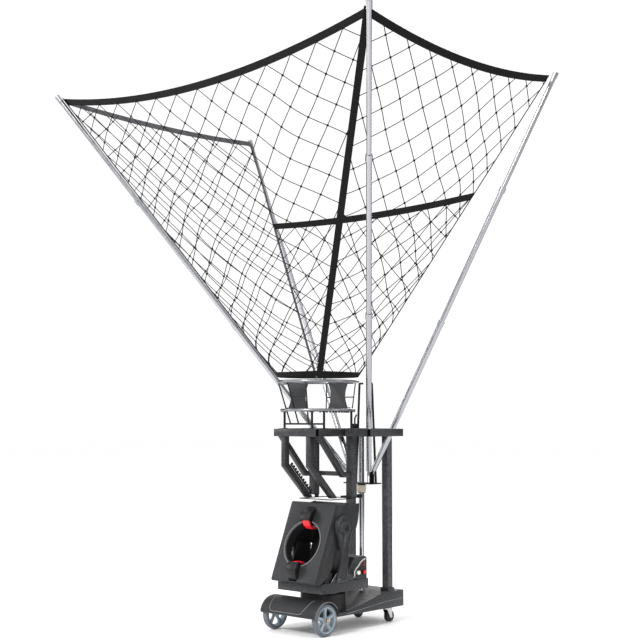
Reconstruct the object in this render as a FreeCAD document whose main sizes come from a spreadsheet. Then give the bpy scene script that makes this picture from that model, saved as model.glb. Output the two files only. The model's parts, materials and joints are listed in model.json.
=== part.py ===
"""Basketball shooting machine: a wheeled base, a panning and tilting two-wheel
launcher, a ball chute under a catch ring, and a net on four folding poles.

Millimetres. +Z is up, the machine throws towards -Y and +X is its right side
as seen from the front. The origin is on the floor under the middle of the
bounding box. Heights are above the floor; in the text below, fore-and-aft
places are counted from the catch ring's axis, which stands at Y = ring_y.
"""
import FreeCAD
import Part
import os
import re
import Sketcher

Vector = FreeCAD.Vector
Rotation = FreeCAD.Rotation

SIZES = {
    "ring_y": 199,            # catch ring's axis, from the origin
    "deck_top": 1318,         # top of the deck that carries ring and net
    "deck_depth": 50,         # height of the deck's rectangular tube
    "deck_tube": 30,          # width of the deck's rectangular tube
    "post_side": 50,          # square tube of columns and middle posts
    "tube_wall": 2.5,         # wall of every square tube
    "column_x": 165,
    "column_y": 520,
    "middle_y": 147,          # middle posts, fore and aft
    "base_bottom": 105,
    "base_top": 212,          # top of the base's raised rear end
    "base_half": 200,         # half the base's width
    "base_rear": 650,
    "wheel_radius": 104,
    "wheel_width": 44,
    "wheel_x": 221,
    "wheel_y": -175,
    "axle_radius": 8,
    "caster_radius": 37.5,
    "caster_x": 140,
    "caster_y": 540,
    "caster_trail": 25,
    "pan_y": 50,              # axis of the turntable
    "pedestal_radius": 150,
    "pedestal_top": 236,
    "tray_bottom": 260,
    "tray_top": 325,
    "tray_half": 200,
    "tilt_y": 20,             # axis of the head's tilt
    "tilt_z": 674,
    "head_half": 200,         # half the head's width
    "head_wall": 4,
    "face_lean": 21.8,        # the head's face leans back, degrees
    "exit_y": -150,           # centre of the exit hole, on the face
    "exit_z": 570,
    "exit_radius": 150,
    "throw_radius": 60,       # throwing wheels
    "throw_width": 60,
    "throw_spread": 171,      # wheel centre from the exit's centre, along the face
    "throw_depth": 30,        # wheel centre behind the face
    "motor_radius": 24,       # leaves 2 mm to the inside of the face
    "ring_upper_radius": 268,
    "ring_upper_z": 1631,
    "ring_lower_radius": 244,
    "ring_lower_z": 1442,
    "ring_wire": 9,
    "leg_x": 180,             # legs under the lower ring
    "leg_y": 134,
    "guard_x": 182,           # the two waisted side guards
    "mast_y": 443,
    "mast_radius": 19,
    "carriage_z": 936,
    "carriage_plate": 8,
    "hinge_x": 90,            # pole hinges on the carriage
    "hinge_z": 1005,
    "front_hinge_y": 415,
    "rear_hinge_y": 447,
    "tip_x": 1430,            # pole tips
    "tip_z": 3620,
    "front_tip_y": -1130,
    "rear_tip_y": 730,
    "pole_radius": 19,        # lowest of the three telescoping tubes
    "net_corner_x": 1395,     # net's upper corners
    "net_front_y": -1100,
    "net_rear_y": 701,
    "net_top_z": 3600,
    "net_foot_z": 1662,
    "net_foot_half": 205,     # half the side of the net's square foot
    "net_sheet": 2,
    "fit_gap": 0.05,          # radial clearance of running fits
}

doc = FreeCAD.newDocument("ball_shooter")
sheet = doc.addObject("Spreadsheet::Sheet", "Sizes")
for row, (alias, size) in enumerate(SIZES.items(), start=1):
    sheet.set(f"A{row}", alias)
    sheet.set(f"B{row}", str(size))
    sheet.setAlias(f"B{row}", alias)
doc.recompute()

NODES = []


# ---------------------------------------------------------------- expressions
def bound(text):
    """An expression in which every word of the sheet is a reference to it."""
    return re.sub(r"[a-z_]+", lambda word: f"Sizes.{word[0]}" if word[0] in SIZES else word[0], str(text))


def value(text):
    """The number that an expression stands for."""
    return float(sheet.evalExpression(bound(text)))


def point(place):
    """A place counted from the ring's axis, as a vector in the part's frame."""
    across, along, up = place
    return Vector(value(across), value(f"{along} + ring_y"), value(up))


def bind(thing, **properties):
    for name, text in properties.items():
        thing.setExpression(name, bound(text))
    return thing


def put(thing, across, along, up, turn=None):
    """Place a thing's own origin, bound to the sheet; turn is its rotation."""
    if turn:
        thing.Placement = FreeCAD.Placement(Vector(), turn)
    thing.setExpression("Placement.Base.x", bound(across))
    thing.setExpression("Placement.Base.y", bound(f"{along} + ring_y"))
    thing.setExpression("Placement.Base.z", bound(up))
    return thing


def part(label, thing):
    """Name a finished sub-part."""
    thing.Label = label
    NODES.append(thing)
    return thing


# --------------------------------------------------------------------- shapes
ALONG = {"X": Rotation(Vector(0, 1, 0), 90), "Y": Rotation(Vector(1, 0, 0), -90), "Z": Rotation()}


def box(across, along, up):
    """A box from (low, high) pairs of expressions."""
    thing = doc.addObject("Part::Box", "Block")
    bind(thing, Length=f"({across[1]}) - ({across[0]})", Width=f"({along[1]}) - ({along[0]})",
         Height=f"({up[1]}) - ({up[0]})")
    return put(thing, across[0], f"({along[0]})", up[0])


def rod(radius, length, across, along, up, axis="Z"):
    """A cylinder that starts at a place and runs along an axis."""
    thing = bind(doc.addObject("Part::Cylinder", "Rod"), Radius=radius, Height=length)
    return put(thing, across, along, up, ALONG[axis])


def rod_between(radius, start, end):
    """A cylinder from one place to another."""
    thing = doc.addObject("Part::Cylinder", "Rod")
    spans = [f"(({b}) - ({a}))^2" for a, b in zip(start, end)]
    bind(thing, Radius=radius, Height=f"sqrt({' + '.join(spans)})")
    return put(thing, *start, Rotation(Vector(0, 0, 1), point(end) - point(start)))


def cut(base, *tools):
    for tool in tools:
        thing = doc.addObject("Part::Cut", "Cut")
        thing.Base, thing.Tool = base, tool
        base = thing
    return base


def common(base, tool):
    thing = doc.addObject("Part::Common", "Common")
    thing.Base, thing.Tool = base, tool
    return thing


def fuse(*shapes):
    thing = doc.addObject("Part::MultiFuse", "Fusion")
    thing.Shapes = list(shapes)
    thing.Refine = True
    return thing


def group(*shapes):
    """Several separate solids that are one node, such as a set of bolts."""
    thing = doc.addObject("Part::Compound", "Group")
    thing.Links = list(shapes)
    return thing


def pipe(outer, inner, length, across, along, up, axis="Z"):
    return cut(rod(outer, length, across, along, up, axis), rod(inner, length, across, along, up, axis))


def rect_tube(across, along, up, axis):
    """A rectangular tube, open at both ends of its axis."""
    spans = {"X": across, "Y": along, "Z": up}
    hollow = [
        span if name == axis else (f"({span[0]}) + tube_wall", f"({span[1]}) - tube_wall")
        for name, span in spans.items()
    ]
    return cut(box(across, along, up), box(*hollow))


def post(across, along, up):
    """An upright square tube centred on a place."""
    return rect_tube((f"{across} - post_side/2", f"{across} + post_side/2"),
                     (f"{along} - post_side/2", f"{along} + post_side/2"), up, "Z")


def outline(corners, low, high, facing="X"):
    """A closed outline padded from low to high.

    facing X takes (along, up) corners, facing Y takes (across, up) corners.
    Every corner is a pair of constraints bound to the sheet.
    """
    body = doc.addObject("PartDesign::Body", "Plate")
    role = "YZ_Plane" if facing == "X" else "XZ_Plane"
    plane = next(p for p in body.Origin.OriginFeatures if p.Role == role)
    sketch = body.newObject("Sketcher::SketchObject", "Outline")
    sketch.AttachmentSupport = [(plane, "")]
    sketch.MapMode = "FlatFace"
    flat = [Vector(value(a), value(b), 0) for a, b in corners]
    count = len(flat)
    for i in range(count):
        sketch.addGeometry(Part.LineSegment(flat[i], flat[(i + 1) % count]))
    for i in range(count):
        sketch.addConstraint(Sketcher.Constraint("Coincident", i, 2, (i + 1) % count, 1))
    for i, (a, b) in enumerate(corners):
        for kind, size, text in (("DistanceX", flat[i].x, a), ("DistanceY", flat[i].y, b)):
            index = sketch.addConstraint(Sketcher.Constraint(kind, -1, 1, i, 1, size))
            sketch.setExpression(f"Constraints[{index}]", bound(text))
    pad = body.newObject("PartDesign::Pad", "Pad")
    pad.Profile = sketch
    bind(pad, Length=f"({high}) - ({low})")
    if facing == "X":
        return put(body, low, 0, 0)
    return put(body, 0, f"({high})", 0)


def offset_outline(corners, inset):
    """The same outline, moved inwards by a wall's thickness, as plain numbers."""
    flat = [Vector(value(a), value(b), 0) for a, b in corners]
    wire = Part.makePolygon(flat + flat[:1])
    inner = wire.makeOffset2D(-value(inset), 2)
    return [(v.Point.x, v.Point.y) for v in inner.OrderedVertexes]


def shell(corners, half, wall="head_wall", keep_open=()):
    """A hollow casing across +-half; keep_open are cutters that open it."""
    outer = outline(corners, f"-({half})", half)
    inner = outline(offset_outline(corners, wall), f"-({half} - {wall})", f"{half} - {wall}")
    return cut(outer, inner, *keep_open)


def both_sides(make):
    """Call make once for the left and once for the right side."""
    for side, sign in (("left", -1), ("right", 1)):
        make(side, sign)


# ----------------------------------------------------------------------- base
WEDGE = [
    ("-40", "base_bottom"), ("base_rear", "base_bottom"), ("base_rear", "base_top"),
    ("base_rear - 210", "base_top"), ("60", "base_bottom + 22"), ("-40", "base_bottom + 22"),
]


def base():
    skin = fuse(
        outline(WEDGE, "-base_half", "base_half"),
        rod("pedestal_radius", "pedestal_top - base_bottom - 2", 0, "pan_y", "base_bottom + 2"),
    )
    hollow = fuse(
        outline([
            ("-36", "base_bottom - 1"), ("base_rear - 4", "base_bottom - 1"),
            ("base_rear - 4", "base_top - 4"), ("base_rear - 208", "base_top - 4"),
            ("61", "base_bottom + 18"), ("-36", "base_bottom + 18"),
        ], "4 - base_half", "base_half - 4"),
        rod("pedestal_radius - 4", "pedestal_top - base_bottom - 13", 0, "pan_y", "base_bottom + 3"),
    )
    shaft_hole = rod("20 + fit_gap", 40, 0, "pan_y", "pedestal_top - 20")
    mast_hole = rod("mast_radius", 300, 0, "mast_y", "base_bottom + 1")
    part("base_cover", cut(skin, hollow, shaft_hole, mast_hole))

    floor = box(("14 - base_half", "base_half - 14"), ("-145", "base_rear - 6"),
                ("base_bottom - 4", "base_bottom"))
    mountings = [shape for s in (-1, 1) for shape in (
        box((f"{s}*caster_x - 35", f"{s}*caster_x + 35"), ("caster_y - 35", "caster_y + 35"),
            ("base_bottom - 8", "base_bottom - 4")),
        rod(6, 18, f"{s}*caster_x", "caster_y", "base_bottom - 22"))]
    part("base_plate", fuse(floor, *mountings))

    part("pan_gearmotor", fuse(
        rod(45, 60, 0, "pan_y", "base_bottom"),
        box(("-30", "30"), ("pan_y", "pan_y + 95"), ("base_bottom", "base_bottom + 14")),
        rod(28, 14, 0, "pan_y", "base_bottom + 60"),
    ))
    part("power_supply", box(("-90", "90"), ("472", "636"), ("base_bottom", "base_bottom + 70")))
    part("pan_bearing_ring", pipe(110, 24, 11, 0, "pan_y", "pedestal_top"))


def front_housing():
    """The half-round cover over the axle and the tops of the front wheels."""
    axle = ("wheel_y", "wheel_radius", "X")
    drum = rod("wheel_radius + 18", "2*base_half + 100", "-base_half - 50", *axle)
    below = box(("-400", "400"), ("wheel_y - 200", "wheel_y + 200"), ("-200", "base_bottom - 4"))
    lip = box(("-400", "400"), ("wheel_y - 200", "wheel_y - 50"), ("50", "base_bottom + 17"))
    tails = [box((f"{s}*(base_half + 30) - 30", f"{s}*(base_half + 30) + 30"),
                 ("wheel_y + 50", "wheel_y + 200"), ("50", "base_bottom + 17")) for s in (-1, 1)]
    behind = box(("-400", "400"), ("-41", "60"), ("-10", "400"))
    belly = rod("wheel_radius + 13", "2*base_half - 24", "12 - base_half", *axle)
    bays = [rod("wheel_radius + 8", 70, x, *axle) for x in ("base_half - 8", "-base_half - 62")]
    bosses = [rod(24, 14, x, *axle) for x in ("base_half - 26", "12 - base_half")]
    floor_slot = box(("-base_half", "base_half"), ("-145.3", "0"), ("base_bottom - 10", "base_bottom + 0.3"))
    hole = rod("axle_radius", 600, -300, *axle)
    pedestal = rod("pedestal_radius + 0.3", 200, 0, "pan_y", "base_bottom + 1.7")
    skin = fuse(cut(drum, below, lip, *tails, behind, belly, *bays), *bosses)
    part("front_housing", cut(skin, floor_slot, hole, pedestal))


def front_wheel(side, sign):
    inner = f"{sign}*wheel_x - wheel_width/2"
    axle = ("wheel_y", "wheel_radius", "X")
    part(f"front_tyre_{side}", pipe("wheel_radius", "wheel_radius - 20", "wheel_width", inner, *axle))
    rim = pipe("wheel_radius - 20", "wheel_radius - 28", "wheel_width - 4", f"{inner} + 2", *axle)
    core = rod(21, "wheel_width", inner, *axle)
    spokes = []
    for turn in range(0, 360, 72):
        spoke = bind(doc.addObject("Part::Box", "Spoke"), Length="wheel_width - 20", Width=18,
                     Height="wheel_radius - 24")
        sweep = Rotation(Vector(1, 0, 0), turn)
        corner = sweep.multVec(Vector(0, -9, 0))
        put(spoke, f"{inner} + 10", f"wheel_y + {corner.y}", f"wheel_radius + {corner.z}", sweep)
        spokes.append(spoke)
    bore = rod("axle_radius + fit_gap", 80, f"{inner} - 10", *axle)
    part(f"front_hub_{side}", cut(fuse(rim, core, *spokes), bore))


def front_axle():
    nuts = [rod(12, 7, x, "wheel_y", "wheel_radius", "X")
            for x in ("wheel_x + wheel_width/2 + 0.5", "-wheel_x - wheel_width/2 - 7.5")]
    part("front_axle", fuse(
        rod("axle_radius", "2*wheel_x + 50", "-wheel_x - 25", "wheel_y", "wheel_radius", "X"), *nuts))


def caster(side, sign):
    x, y, trail = f"{sign}*caster_x", "caster_y", "caster_y + caster_trail"
    crown_z = "base_bottom - 8.3"
    crown = rod(26, 12, x, y, f"{crown_z} - 12")
    legs = [
        outline([("caster_y - 14", f"{crown_z} - 4"), ("caster_y - 14", f"{crown_z} - 16"),
                 (f"{trail} - 11", "caster_radius - 10"), (f"{trail} + 11", "caster_radius - 10"),
                 (f"{trail} + 4", f"{crown_z} - 4")], f"{x} + {low}", f"{x} + {high}")
        for low, high in ((-22, -18), (18, 22))
    ]
    tops = box((f"{x} - 22", f"{x} + 22"), ("caster_y - 14", f"{trail} + 2"),
               (f"{crown_z} - 12", f"{crown_z} - 8"))
    pin_bore = rod("6 + fit_gap", 40, x, y, f"{crown_z} - 30")
    axle = rod(4, 44, f"{x} - 22", trail, "caster_radius", "X")
    part(f"caster_fork_{side}", cut(fuse(crown, tops, axle, *legs), pin_bore))
    part(f"caster_wheel_{side}", pipe("caster_radius", "4 + fit_gap", 30, f"{x} - 15", trail,
                                      "caster_radius", "X"))


# ------------------------------------------------------------------ turntable
def turntable():
    part("pan_shaft", fuse(rod(20, "tray_bottom - pedestal_top + 47", 0, "pan_y", "pedestal_top - 47"),
                           pipe(100, 19, "12.7", 0, "pan_y", "pedestal_top + 11.3")))
    gussets = [
        outline([("-142", "tray_top"), ("-60", "tray_top"), ("-60", "tray_top + 62"),
                 ("-78", "tray_top + 62")], f"{sign}*180 - 3", f"{sign}*180 + 3")
        for sign in (-1, 1)
    ]
    part("tray", fuse(cut(
        box(("-tray_half", "tray_half"), ("-175", "280"), ("tray_bottom", "tray_top")),
        box(("3 - tray_half", "tray_half - 3"), ("-172", "277"), ("tray_bottom + 3", "tray_top - 3")),
    ), *gussets))
    part("launcher_controller", box(("-110", "110"), ("-120", "60"), ("tray_bottom + 3", "tray_bottom + 38")))


def yoke(sign):
    """A waisted arm with a round head; it stands on the tray and bows outwards."""
    profile = fuse(
        rod(80, 520, -260, "tilt_y", "tilt_z", "X"),
        outline([("tilt_y - 57", "tray_top"), ("tilt_y + 57", "tray_top"),
                 ("tilt_y + 34", "tray_top + 110"), ("tilt_y + 32", "tray_top + 190"),
                 ("tilt_y + 66", "tilt_z - 44"), ("tilt_y - 66", "tilt_z - 44"),
                 ("tilt_y - 32", "tray_top + 190"), ("tilt_y - 34", "tray_top + 110")], -260, 260),
    )
    foot_out, head_out, head_in = (f"{sign}*({x})" for x in ("tray_half", "head_half + 26", "head_half + 4"))
    front_view = outline([(f"{foot_out} - {sign}*22", "tray_top"), (foot_out, "tray_top"),
                          (head_out, "tray_top + 150"), (head_out, "tilt_z + 90"),
                          (head_in, "tilt_z + 90"), (head_in, "tray_top + 158")], -200, 200, "Y")
    bore = rod("14 + fit_gap", 600, -300, "tilt_y", "tilt_z", "X")
    return cut(common(profile, front_view), bore)


def control_box():
    """Electronics box behind the head; its panel faces +X."""
    button, knob = ("242", "tray_top + 44"), ("180", "tray_top + 44")
    holes = [rod(f"{size} + fit_gap", 30, "tray_half - 25", *place, "X")
             for size, place in ((7, button), (5, knob), (7, button), (5, knob))]
    part("control_box", cut(
        outline([("92", "tray_top"), ("275", "tray_top"), ("275", "tray_top + 134"),
                 ("263", "tray_top + 146"), ("150", "tray_top + 146"), ("92", "tray_top + 60")],
                "10 - tray_half", "tray_half - 10"),
        outline([("95", "tray_top + 3"), ("272", "tray_top + 3"), ("272", "tray_top + 132"),
                 ("261", "tray_top + 143"), ("152", "tray_top + 143"), ("95", "tray_top + 58")],
                "13 - tray_half", "tray_half - 13"),
        *holes[:2],
    ))
    part("control_panel", cut(
        outline([("150", "tray_top + 14"), ("262", "tray_top + 14"), ("262", "tray_top + 128"),
                 ("225", "tray_top + 120"), ("180", "tray_top + 72"), ("150", "tray_top + 50")],
                "tray_half - 10", "tray_half - 7"),
        *holes[2:],
    ))
    part("start_button", fuse(rod(7, 14, "tray_half - 16", *button, "X"),
                              rod(12, 6, "tray_half - 2", *button, "X")))
    part("speed_knob", fuse(rod(5, 14, "tray_half - 20", *knob, "X"),
                            rod(13, 14, "tray_half - 6.6", *knob, "X")))
    part("indicator_lamps", group(rod(5, 4, "tray_half - 7", 242, "tray_top + 88", "X"),
                                  rod(4, 3, "tray_half - 7", 242, "tray_top + 106", "X")))
    part("power_inlet", box(("-24", "24"), ("275", "287"), ("tray_top + 22", "tray_top + 52")))


# ----------------------------------------------------------------------- head
HEAD = [
    ("-247", "325"), ("-43", "836"), ("45", "802"), ("199", "830"), ("180", "690"), ("98", "540"),
    ("-47", "527"), ("-66", "430"), ("-120", "362"), ("-187", "319"),
]


def on_face(along_face, out):
    """A place counted from the exit's centre: up along the face, and out of it."""
    return (f"exit_y + ({along_face})*sin(face_lean) - ({out})*cos(face_lean)",
            f"exit_z + ({along_face})*cos(face_lean) + ({out})*sin(face_lean)")


def face_rod(radius, low, high):
    """A cylinder round the exit's axis, from low to high in front of the face."""
    thing = bind(doc.addObject("Part::Cylinder", "Rod"), Radius=radius, Height=f"({high}) - ({low})")
    return put(thing, 0, *on_face(0, low), Rotation(Vector(1, 0, 0), 90 - value("face_lean")))


def face_block(half, low_out, high_out, low_along, high_along):
    """A block square to the face; out and along are counted from the exit."""
    thing = bind(doc.addObject("Part::Box", "Block"), Length=f"2*({half})",
                 Width=f"({high_out}) - ({low_out})", Height=f"({high_along}) - ({low_along})")
    lean = Rotation(Vector(1, 0, 0), -value("face_lean"))
    return put(thing, f"-({half})", *on_face(low_along, high_out), lean)


def wheel_slots():
    """The openings through which the throwing wheels stand out of the face."""
    return [face_block("throw_width/2 + 6", -40, 40, f"{s}*175 - 75", f"{s}*175 + 75") for s in (1, -1)]


def head():
    mouth = [("-30", "836"), ("46", "780"), ("194", "800"), ("194", "900"), ("-30", "900")]
    underside = [("96", "500"), ("96", "548"), ("-52", "536"), ("-72", "432"), ("-124", "366"),
                 ("-180", "330"), ("-170", "300"), ("0", "300")]
    casings = [
        shell(HEAD, "head_half", "head_wall",
              [outline(gap, "4 - head_half", "head_half - 4") for gap in (mouth, underside)])
        for _ in range(2)
    ]
    part("head_front_cover", cut(common(casings[0], face_block("head_half + 20", -46, 60, -600, 600)),
                                 face_rod("exit_radius", -40, 40), *wheel_slots()))
    part("head_rear_cover", cut(casings[1], face_block("head_half + 20", -46, 60, -600, 600)))


def throwing_wheels():
    half = "throw_width/2"
    motors, guards = [], []
    for label, sign in (("upper", 1), ("lower", -1)):
        axis = on_face(f"{sign}*throw_spread", "-throw_depth")
        part(f"throwing_wheel_{label}", group(
            pipe("throw_radius", "throw_radius - 14", "throw_width", f"-{half}", *axis, "X"),
            cut(fuse(rod("throw_radius - 14", 20, -10, *axis, "X"),
                     rod(18, "throw_width", f"-{half}", *axis, "X")),
                rod("6 + fit_gap", 200, -100, *axis, "X")),
        ))
        motors.append(fuse(rod("motor_radius", 96, 44, *axis, "X"), rod(6, 190, -90, *axis, "X")))
        guards.append(cut(
            rod("throw_radius + 15", 84, -42, *axis, "X"), rod("throw_radius + 11", 76, -38, *axis, "X"),
            face_block(200, -400, 0, -600, 600), face_rod("exit_radius", -60, 100)))
    part("throwing_motors", group(*motors))
    part("wheel_guards", group(*guards))


def head_inside():
    """The cradle is open at its front, towards the throwing wheels, and on top."""
    cradle = [("-118", "356"), ("-20", "366"), ("70", "412"), ("92", "532"), ("84", "560"), ("-40", "560")]
    top = outline([("-150", "540"), ("100", "500"), ("100", "600"), ("-150", "600")], -147, 147)
    front = outline([("-130", "362"), ("-104", "362"), ("-26", "566"), ("-60", "566")], -147, 147)
    part("inner_cradle", shell(cradle, 150, 3, [top, front]))
    part("ball_guide", outline([("-100", "428"), ("-9", "388"), ("58", "424"), ("86", "534"), ("166", "692"),
                                ("184", "792"), ("187", "792"), ("169", "690"), ("89", "532"), ("60", "421"),
                                ("-9", "384.5"), ("-101", "425")], -140, 140))
    part("tilt_hubs", group(*[
        cut(fuse(rod(14, 36, stem, "tilt_y", "tilt_z", "X"), rod(45, 16, cap, "tilt_y", "tilt_z", "X")),
            rod(18, 6, dish, "tilt_y", "tilt_z", "X"))
        for stem, cap, dish in (("head_half", "head_half + 26.5", "head_half + 38"),
                                ("-head_half - 36", "-head_half - 42.5", "-head_half - 44"))
    ]))


# ------------------------------------------------------------ frame and chute
def columns():
    part("middle_posts", group(
        *[post(f"{s}*170", "middle_y", ("870", "deck_top - deck_depth")) for s in (-1, 1)],
        box(("-145", "145"), ("middle_y + 9", "middle_y + 24"), ("1000", "1030")),
    ))
    sockets = [
        cut(box((f"{s}*column_x - 34", f"{s}*column_x + 34"), ("column_y - 34", "column_y + 34"),
                ("base_top", "base_top + 26")),
            box((f"{s}*column_x - 25", f"{s}*column_x + 25"), ("column_y - 25", "column_y + 25"),
                ("base_top - 1", "base_top + 27")))
        for s in (-1, 1)
    ]
    part("columns", group(*sockets, *[
        post(f"{s}*column_x", "column_y", ("base_top", "deck_top - 40"))
        for s in (-1, 1)
    ]))
    part("chute_braces", group(*[
        outline([("-190", "deck_top - deck_depth"), ("-150", "deck_top - deck_depth"), ("62", "1031"),
                 ("middle_y - 25", "1031"), ("middle_y - 25", "998"), ("46", "998")],
                f"{s}*170 - 17", f"{s}*170 + 17") for s in (-1, 1)
    ]))


def deck():
    """A T of welded rectangular tube; the poles pass through the cells of its crossbar."""
    up = ("deck_top - deck_depth", "deck_top")
    tail = ("deck_top - 40", "deck_top")
    mast_plate = box(("-140", "140"), ("385", "466"), ("deck_top - 22", "deck_top - 10"))
    bars = [
        rect_tube(("-191", "191"), ("-225", "-225 + deck_tube"), up, "X"),
        rect_tube(("-390", "390"), ("385 - deck_tube", "385"), up, "X"),
        rect_tube(("-140", "140"), ("517", "545"), tail, "X"),
        cut(mast_plate, rod("mast_radius", 100, 0, "mast_y", "deck_top - 80")),
    ]
    for inner, outer, along, level, axis in (
        ("191 - deck_tube", "191", ("-225 + deck_tube", "50"), up, "Y"),
        ("105", "200", ("50", "182"), up, "Y"),
        ("200", "390", ("50", "50 + deck_tube"), up, "X"),
        ("390", "390 + deck_tube", ("50", "385"), up, "Y"),
        ("140", "190", ("385", "545"), tail, "Y"),
    ):
        bars.append(rect_tube((inner, outer), along, level, axis))
        bars.append(rect_tube((f"-({outer})", f"-({inner})"), along, level, axis))
    part("deck_frame", group(*bars))


def chute_teeth(sign):
    """A rubber strip with square teeth that lines the inside of a sloping rail."""
    corners = [("-170", "1082"), ("30", "882")]
    count = 11
    for i in range(count, 0, -1):
        for share, rise in ((i, 4), (i - 0.5, 4), (i - 0.5, 14), (i - 1, 14)):
            corners.append((f"-170 + 200*{share}/{count} + {rise}", f"1082 - 200*{share}/{count} + {rise}"))
    return outline(corners, f"{sign}*88 - 5.8", f"{sign}*88 + 5.8")


def chute():
    part("chute_rails", group(*[
        outline([("-216", "deck_top - deck_depth"), ("-176", "deck_top - deck_depth"), ("-176", "1088"),
                 ("44", "868"), ("44", "860"), ("2", "860"), ("-216", "1072")],
                f"{s}*112 - 18", f"{s}*112 + 18") for s in (-1, 1)
    ]))
    part("chute_pads", group(*[chute_teeth(sign) for sign in (-1, 1)]))
    level = ("850", "856")
    wire = [box(("-143", "143"), (y, f"{y} + 6"), level) for y in ("-30", "215")]
    wire += [box((f"{s}*140 - 3", f"{s}*140 + 3"), ("-30", "221"), level) for s in (-1, 1)]
    hangers = [
        box((f"{s}*148 - 11", f"{s}*148 + 11"), ("middle_y - 10", "middle_y + 10"), ("850", "870"))
        for s in (-1, 1)
    ]
    arm = box(("10", "28"), ("215", "384"), ("849", "865"))
    stop = box(("-12", "50"), ("372", "394"), ("843", "867"))
    part("intake_frame", fuse(*wire, *hangers, arm, stop))


# ----------------------------------------------------------------- catch ring
def ring(radius, up, wire):
    thing = bind(doc.addObject("Part::Torus", "Ring"), Radius1=radius, Radius2=wire)
    return put(thing, 0, 0, up)


def guard_panel(sign):
    """A flat waisted plate beside the ring, held by four pins that reach for the rings."""
    low, high = "ring_lower_z + ring_wire", "ring_upper_z - ring_wire"
    rows = [(i / 6, f"98 - 28*sin(180*{i}/6)") for i in range(7)]
    corners = [(half, f"{low} + ({high} - ({low}))*{share}") for share, half in rows]
    corners += [(f"-({half})", f"{low} + ({high} - ({low}))*{share}") for share, half in reversed(rows)]
    plate = outline(corners, f"{sign}*guard_x - 1.5", f"{sign}*guard_x + 1.5")
    pins = [
        rod_between(3.5, (f"{sign}*guard_x", y, up),
                    (f"{sign}*(sqrt(({radius} - ring_wire)^2 - 80^2) - 2)", y, up))
        for y in ("-80", "80")
        for radius, up in (("ring_upper_radius", f"{high} - 5"), ("ring_lower_radius", f"{low} + 5"))
    ]
    return fuse(plate, *pins)


def ring_leg(a, b):
    """A leg with a foot plate, and a saddle on top that carries the lower ring."""
    saddle = "ring_lower_z - ring_wire - 0.5"
    return fuse(
        rod(8, f"{saddle} - deck_top", f"{a}*leg_x", f"{b}*leg_y", "deck_top"),
        box((f"{a}*leg_x - 14", f"{a}*leg_x + 14"), (f"{b}*leg_y - 18", f"{b}*leg_y + 18"),
            ("deck_top", "deck_top + 4")),
        box((f"{a}*(leg_x + 6) - 14", f"{a}*(leg_x + 6) + 14"),
            (f"{b}*(leg_y + 4) - 12", f"{b}*(leg_y + 4) + 12"), (f"{saddle} - 5", saddle)),
    )


def catch_ring():
    part("upper_ring", ring("ring_upper_radius", "ring_upper_z", "ring_wire"))
    part("lower_ring", ring("ring_lower_radius", "ring_lower_z", "ring_wire"))
    part("ring_legs", group(*[ring_leg(a, b) for a in (-1, 1) for b in (-1, 1)]))
    part("guard_panels", group(*[guard_panel(sign) for sign in (-1, 1)]))
    rail = box(("8.5 - leg_x", "leg_x - 8.5"), ("-leg_y - 5", "5 - leg_y"), ("deck_top + 26", "deck_top + 38"))
    bars = [
        rod_between(5, (foot, "-leg_y", "deck_top + 36"),
                    (top, f"-sqrt(ring_upper_radius^2 - ({top})^2)", "ring_upper_z - ring_wire - 3"))
        for foot, top in (("-125", "-150"), ("-51", "-23"), ("40", "117"))
    ]
    tie = rod_between(4, ("-32", "-222", "1530"), ("91", "-205", "1530"))
    rear = [
        rod_between(4, (f"{s}*120", "212", "ring_lower_z + ring_wire + 1"),
                    (f"{s}*131", "231", "ring_upper_z - ring_wire - 1")) for s in (-1, 1)
    ]
    rear_tie = rod_between(4, ("-125", "221", "1530"), ("125", "221", "1530"))
    part("guard_rods", group(fuse(rail, *bars, tie), fuse(*rear, rear_tie)))


# ------------------------------------------------------- mast, carriage, poles
def lean_of(tip_y, hinge_y):
    """Level direction in which a right-hand pole leans from its hinge."""
    return (point(("tip_x", tip_y, 0)) - point(("hinge_x", hinge_y, 0))).normalize()


POLES = {
    "front": ("front_hinge_y", "front_tip_y"),
    "rear": ("rear_hinge_y", "rear_tip_y"),
}


def mast():
    part("mast", rod("mast_radius", "deck_top - 10 - base_bottom", 0, "mast_y", "base_bottom"))


def hinge_ears(sign, hinge_y, tip_y):
    """Two ears and their pin, square to the pole that folds between them."""
    level = lean_of(tip_y, hinge_y)
    turn = Rotation(Vector(1, 0, 0), Vector(sign * level.x, level.y, 0))
    ears = []
    for low in (6, -10):
        ear = bind(doc.addObject("Part::Box", "Ear"), Length=28, Width=4,
                   Height="hinge_z + 14 - carriage_z - carriage_plate")
        corner = turn.multVec(Vector(-14, low, 0))
        ears.append(put(ear, f"{sign}*hinge_x + {corner.x}", f"{hinge_y} + {corner.y}",
                        "carriage_z + carriage_plate", turn))
    pin = bind(doc.addObject("Part::Cylinder", "Pin"), Radius=5, Height=22)
    start = turn.multVec(Vector(0, -11, 0))
    put(pin, f"{sign}*hinge_x + {start.x}", f"{hinge_y} + {start.y}", "hinge_z",
        Rotation(Vector(0, 0, 1), turn.multVec(Vector(0, 1, 0))))
    return [*ears, pin]


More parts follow.
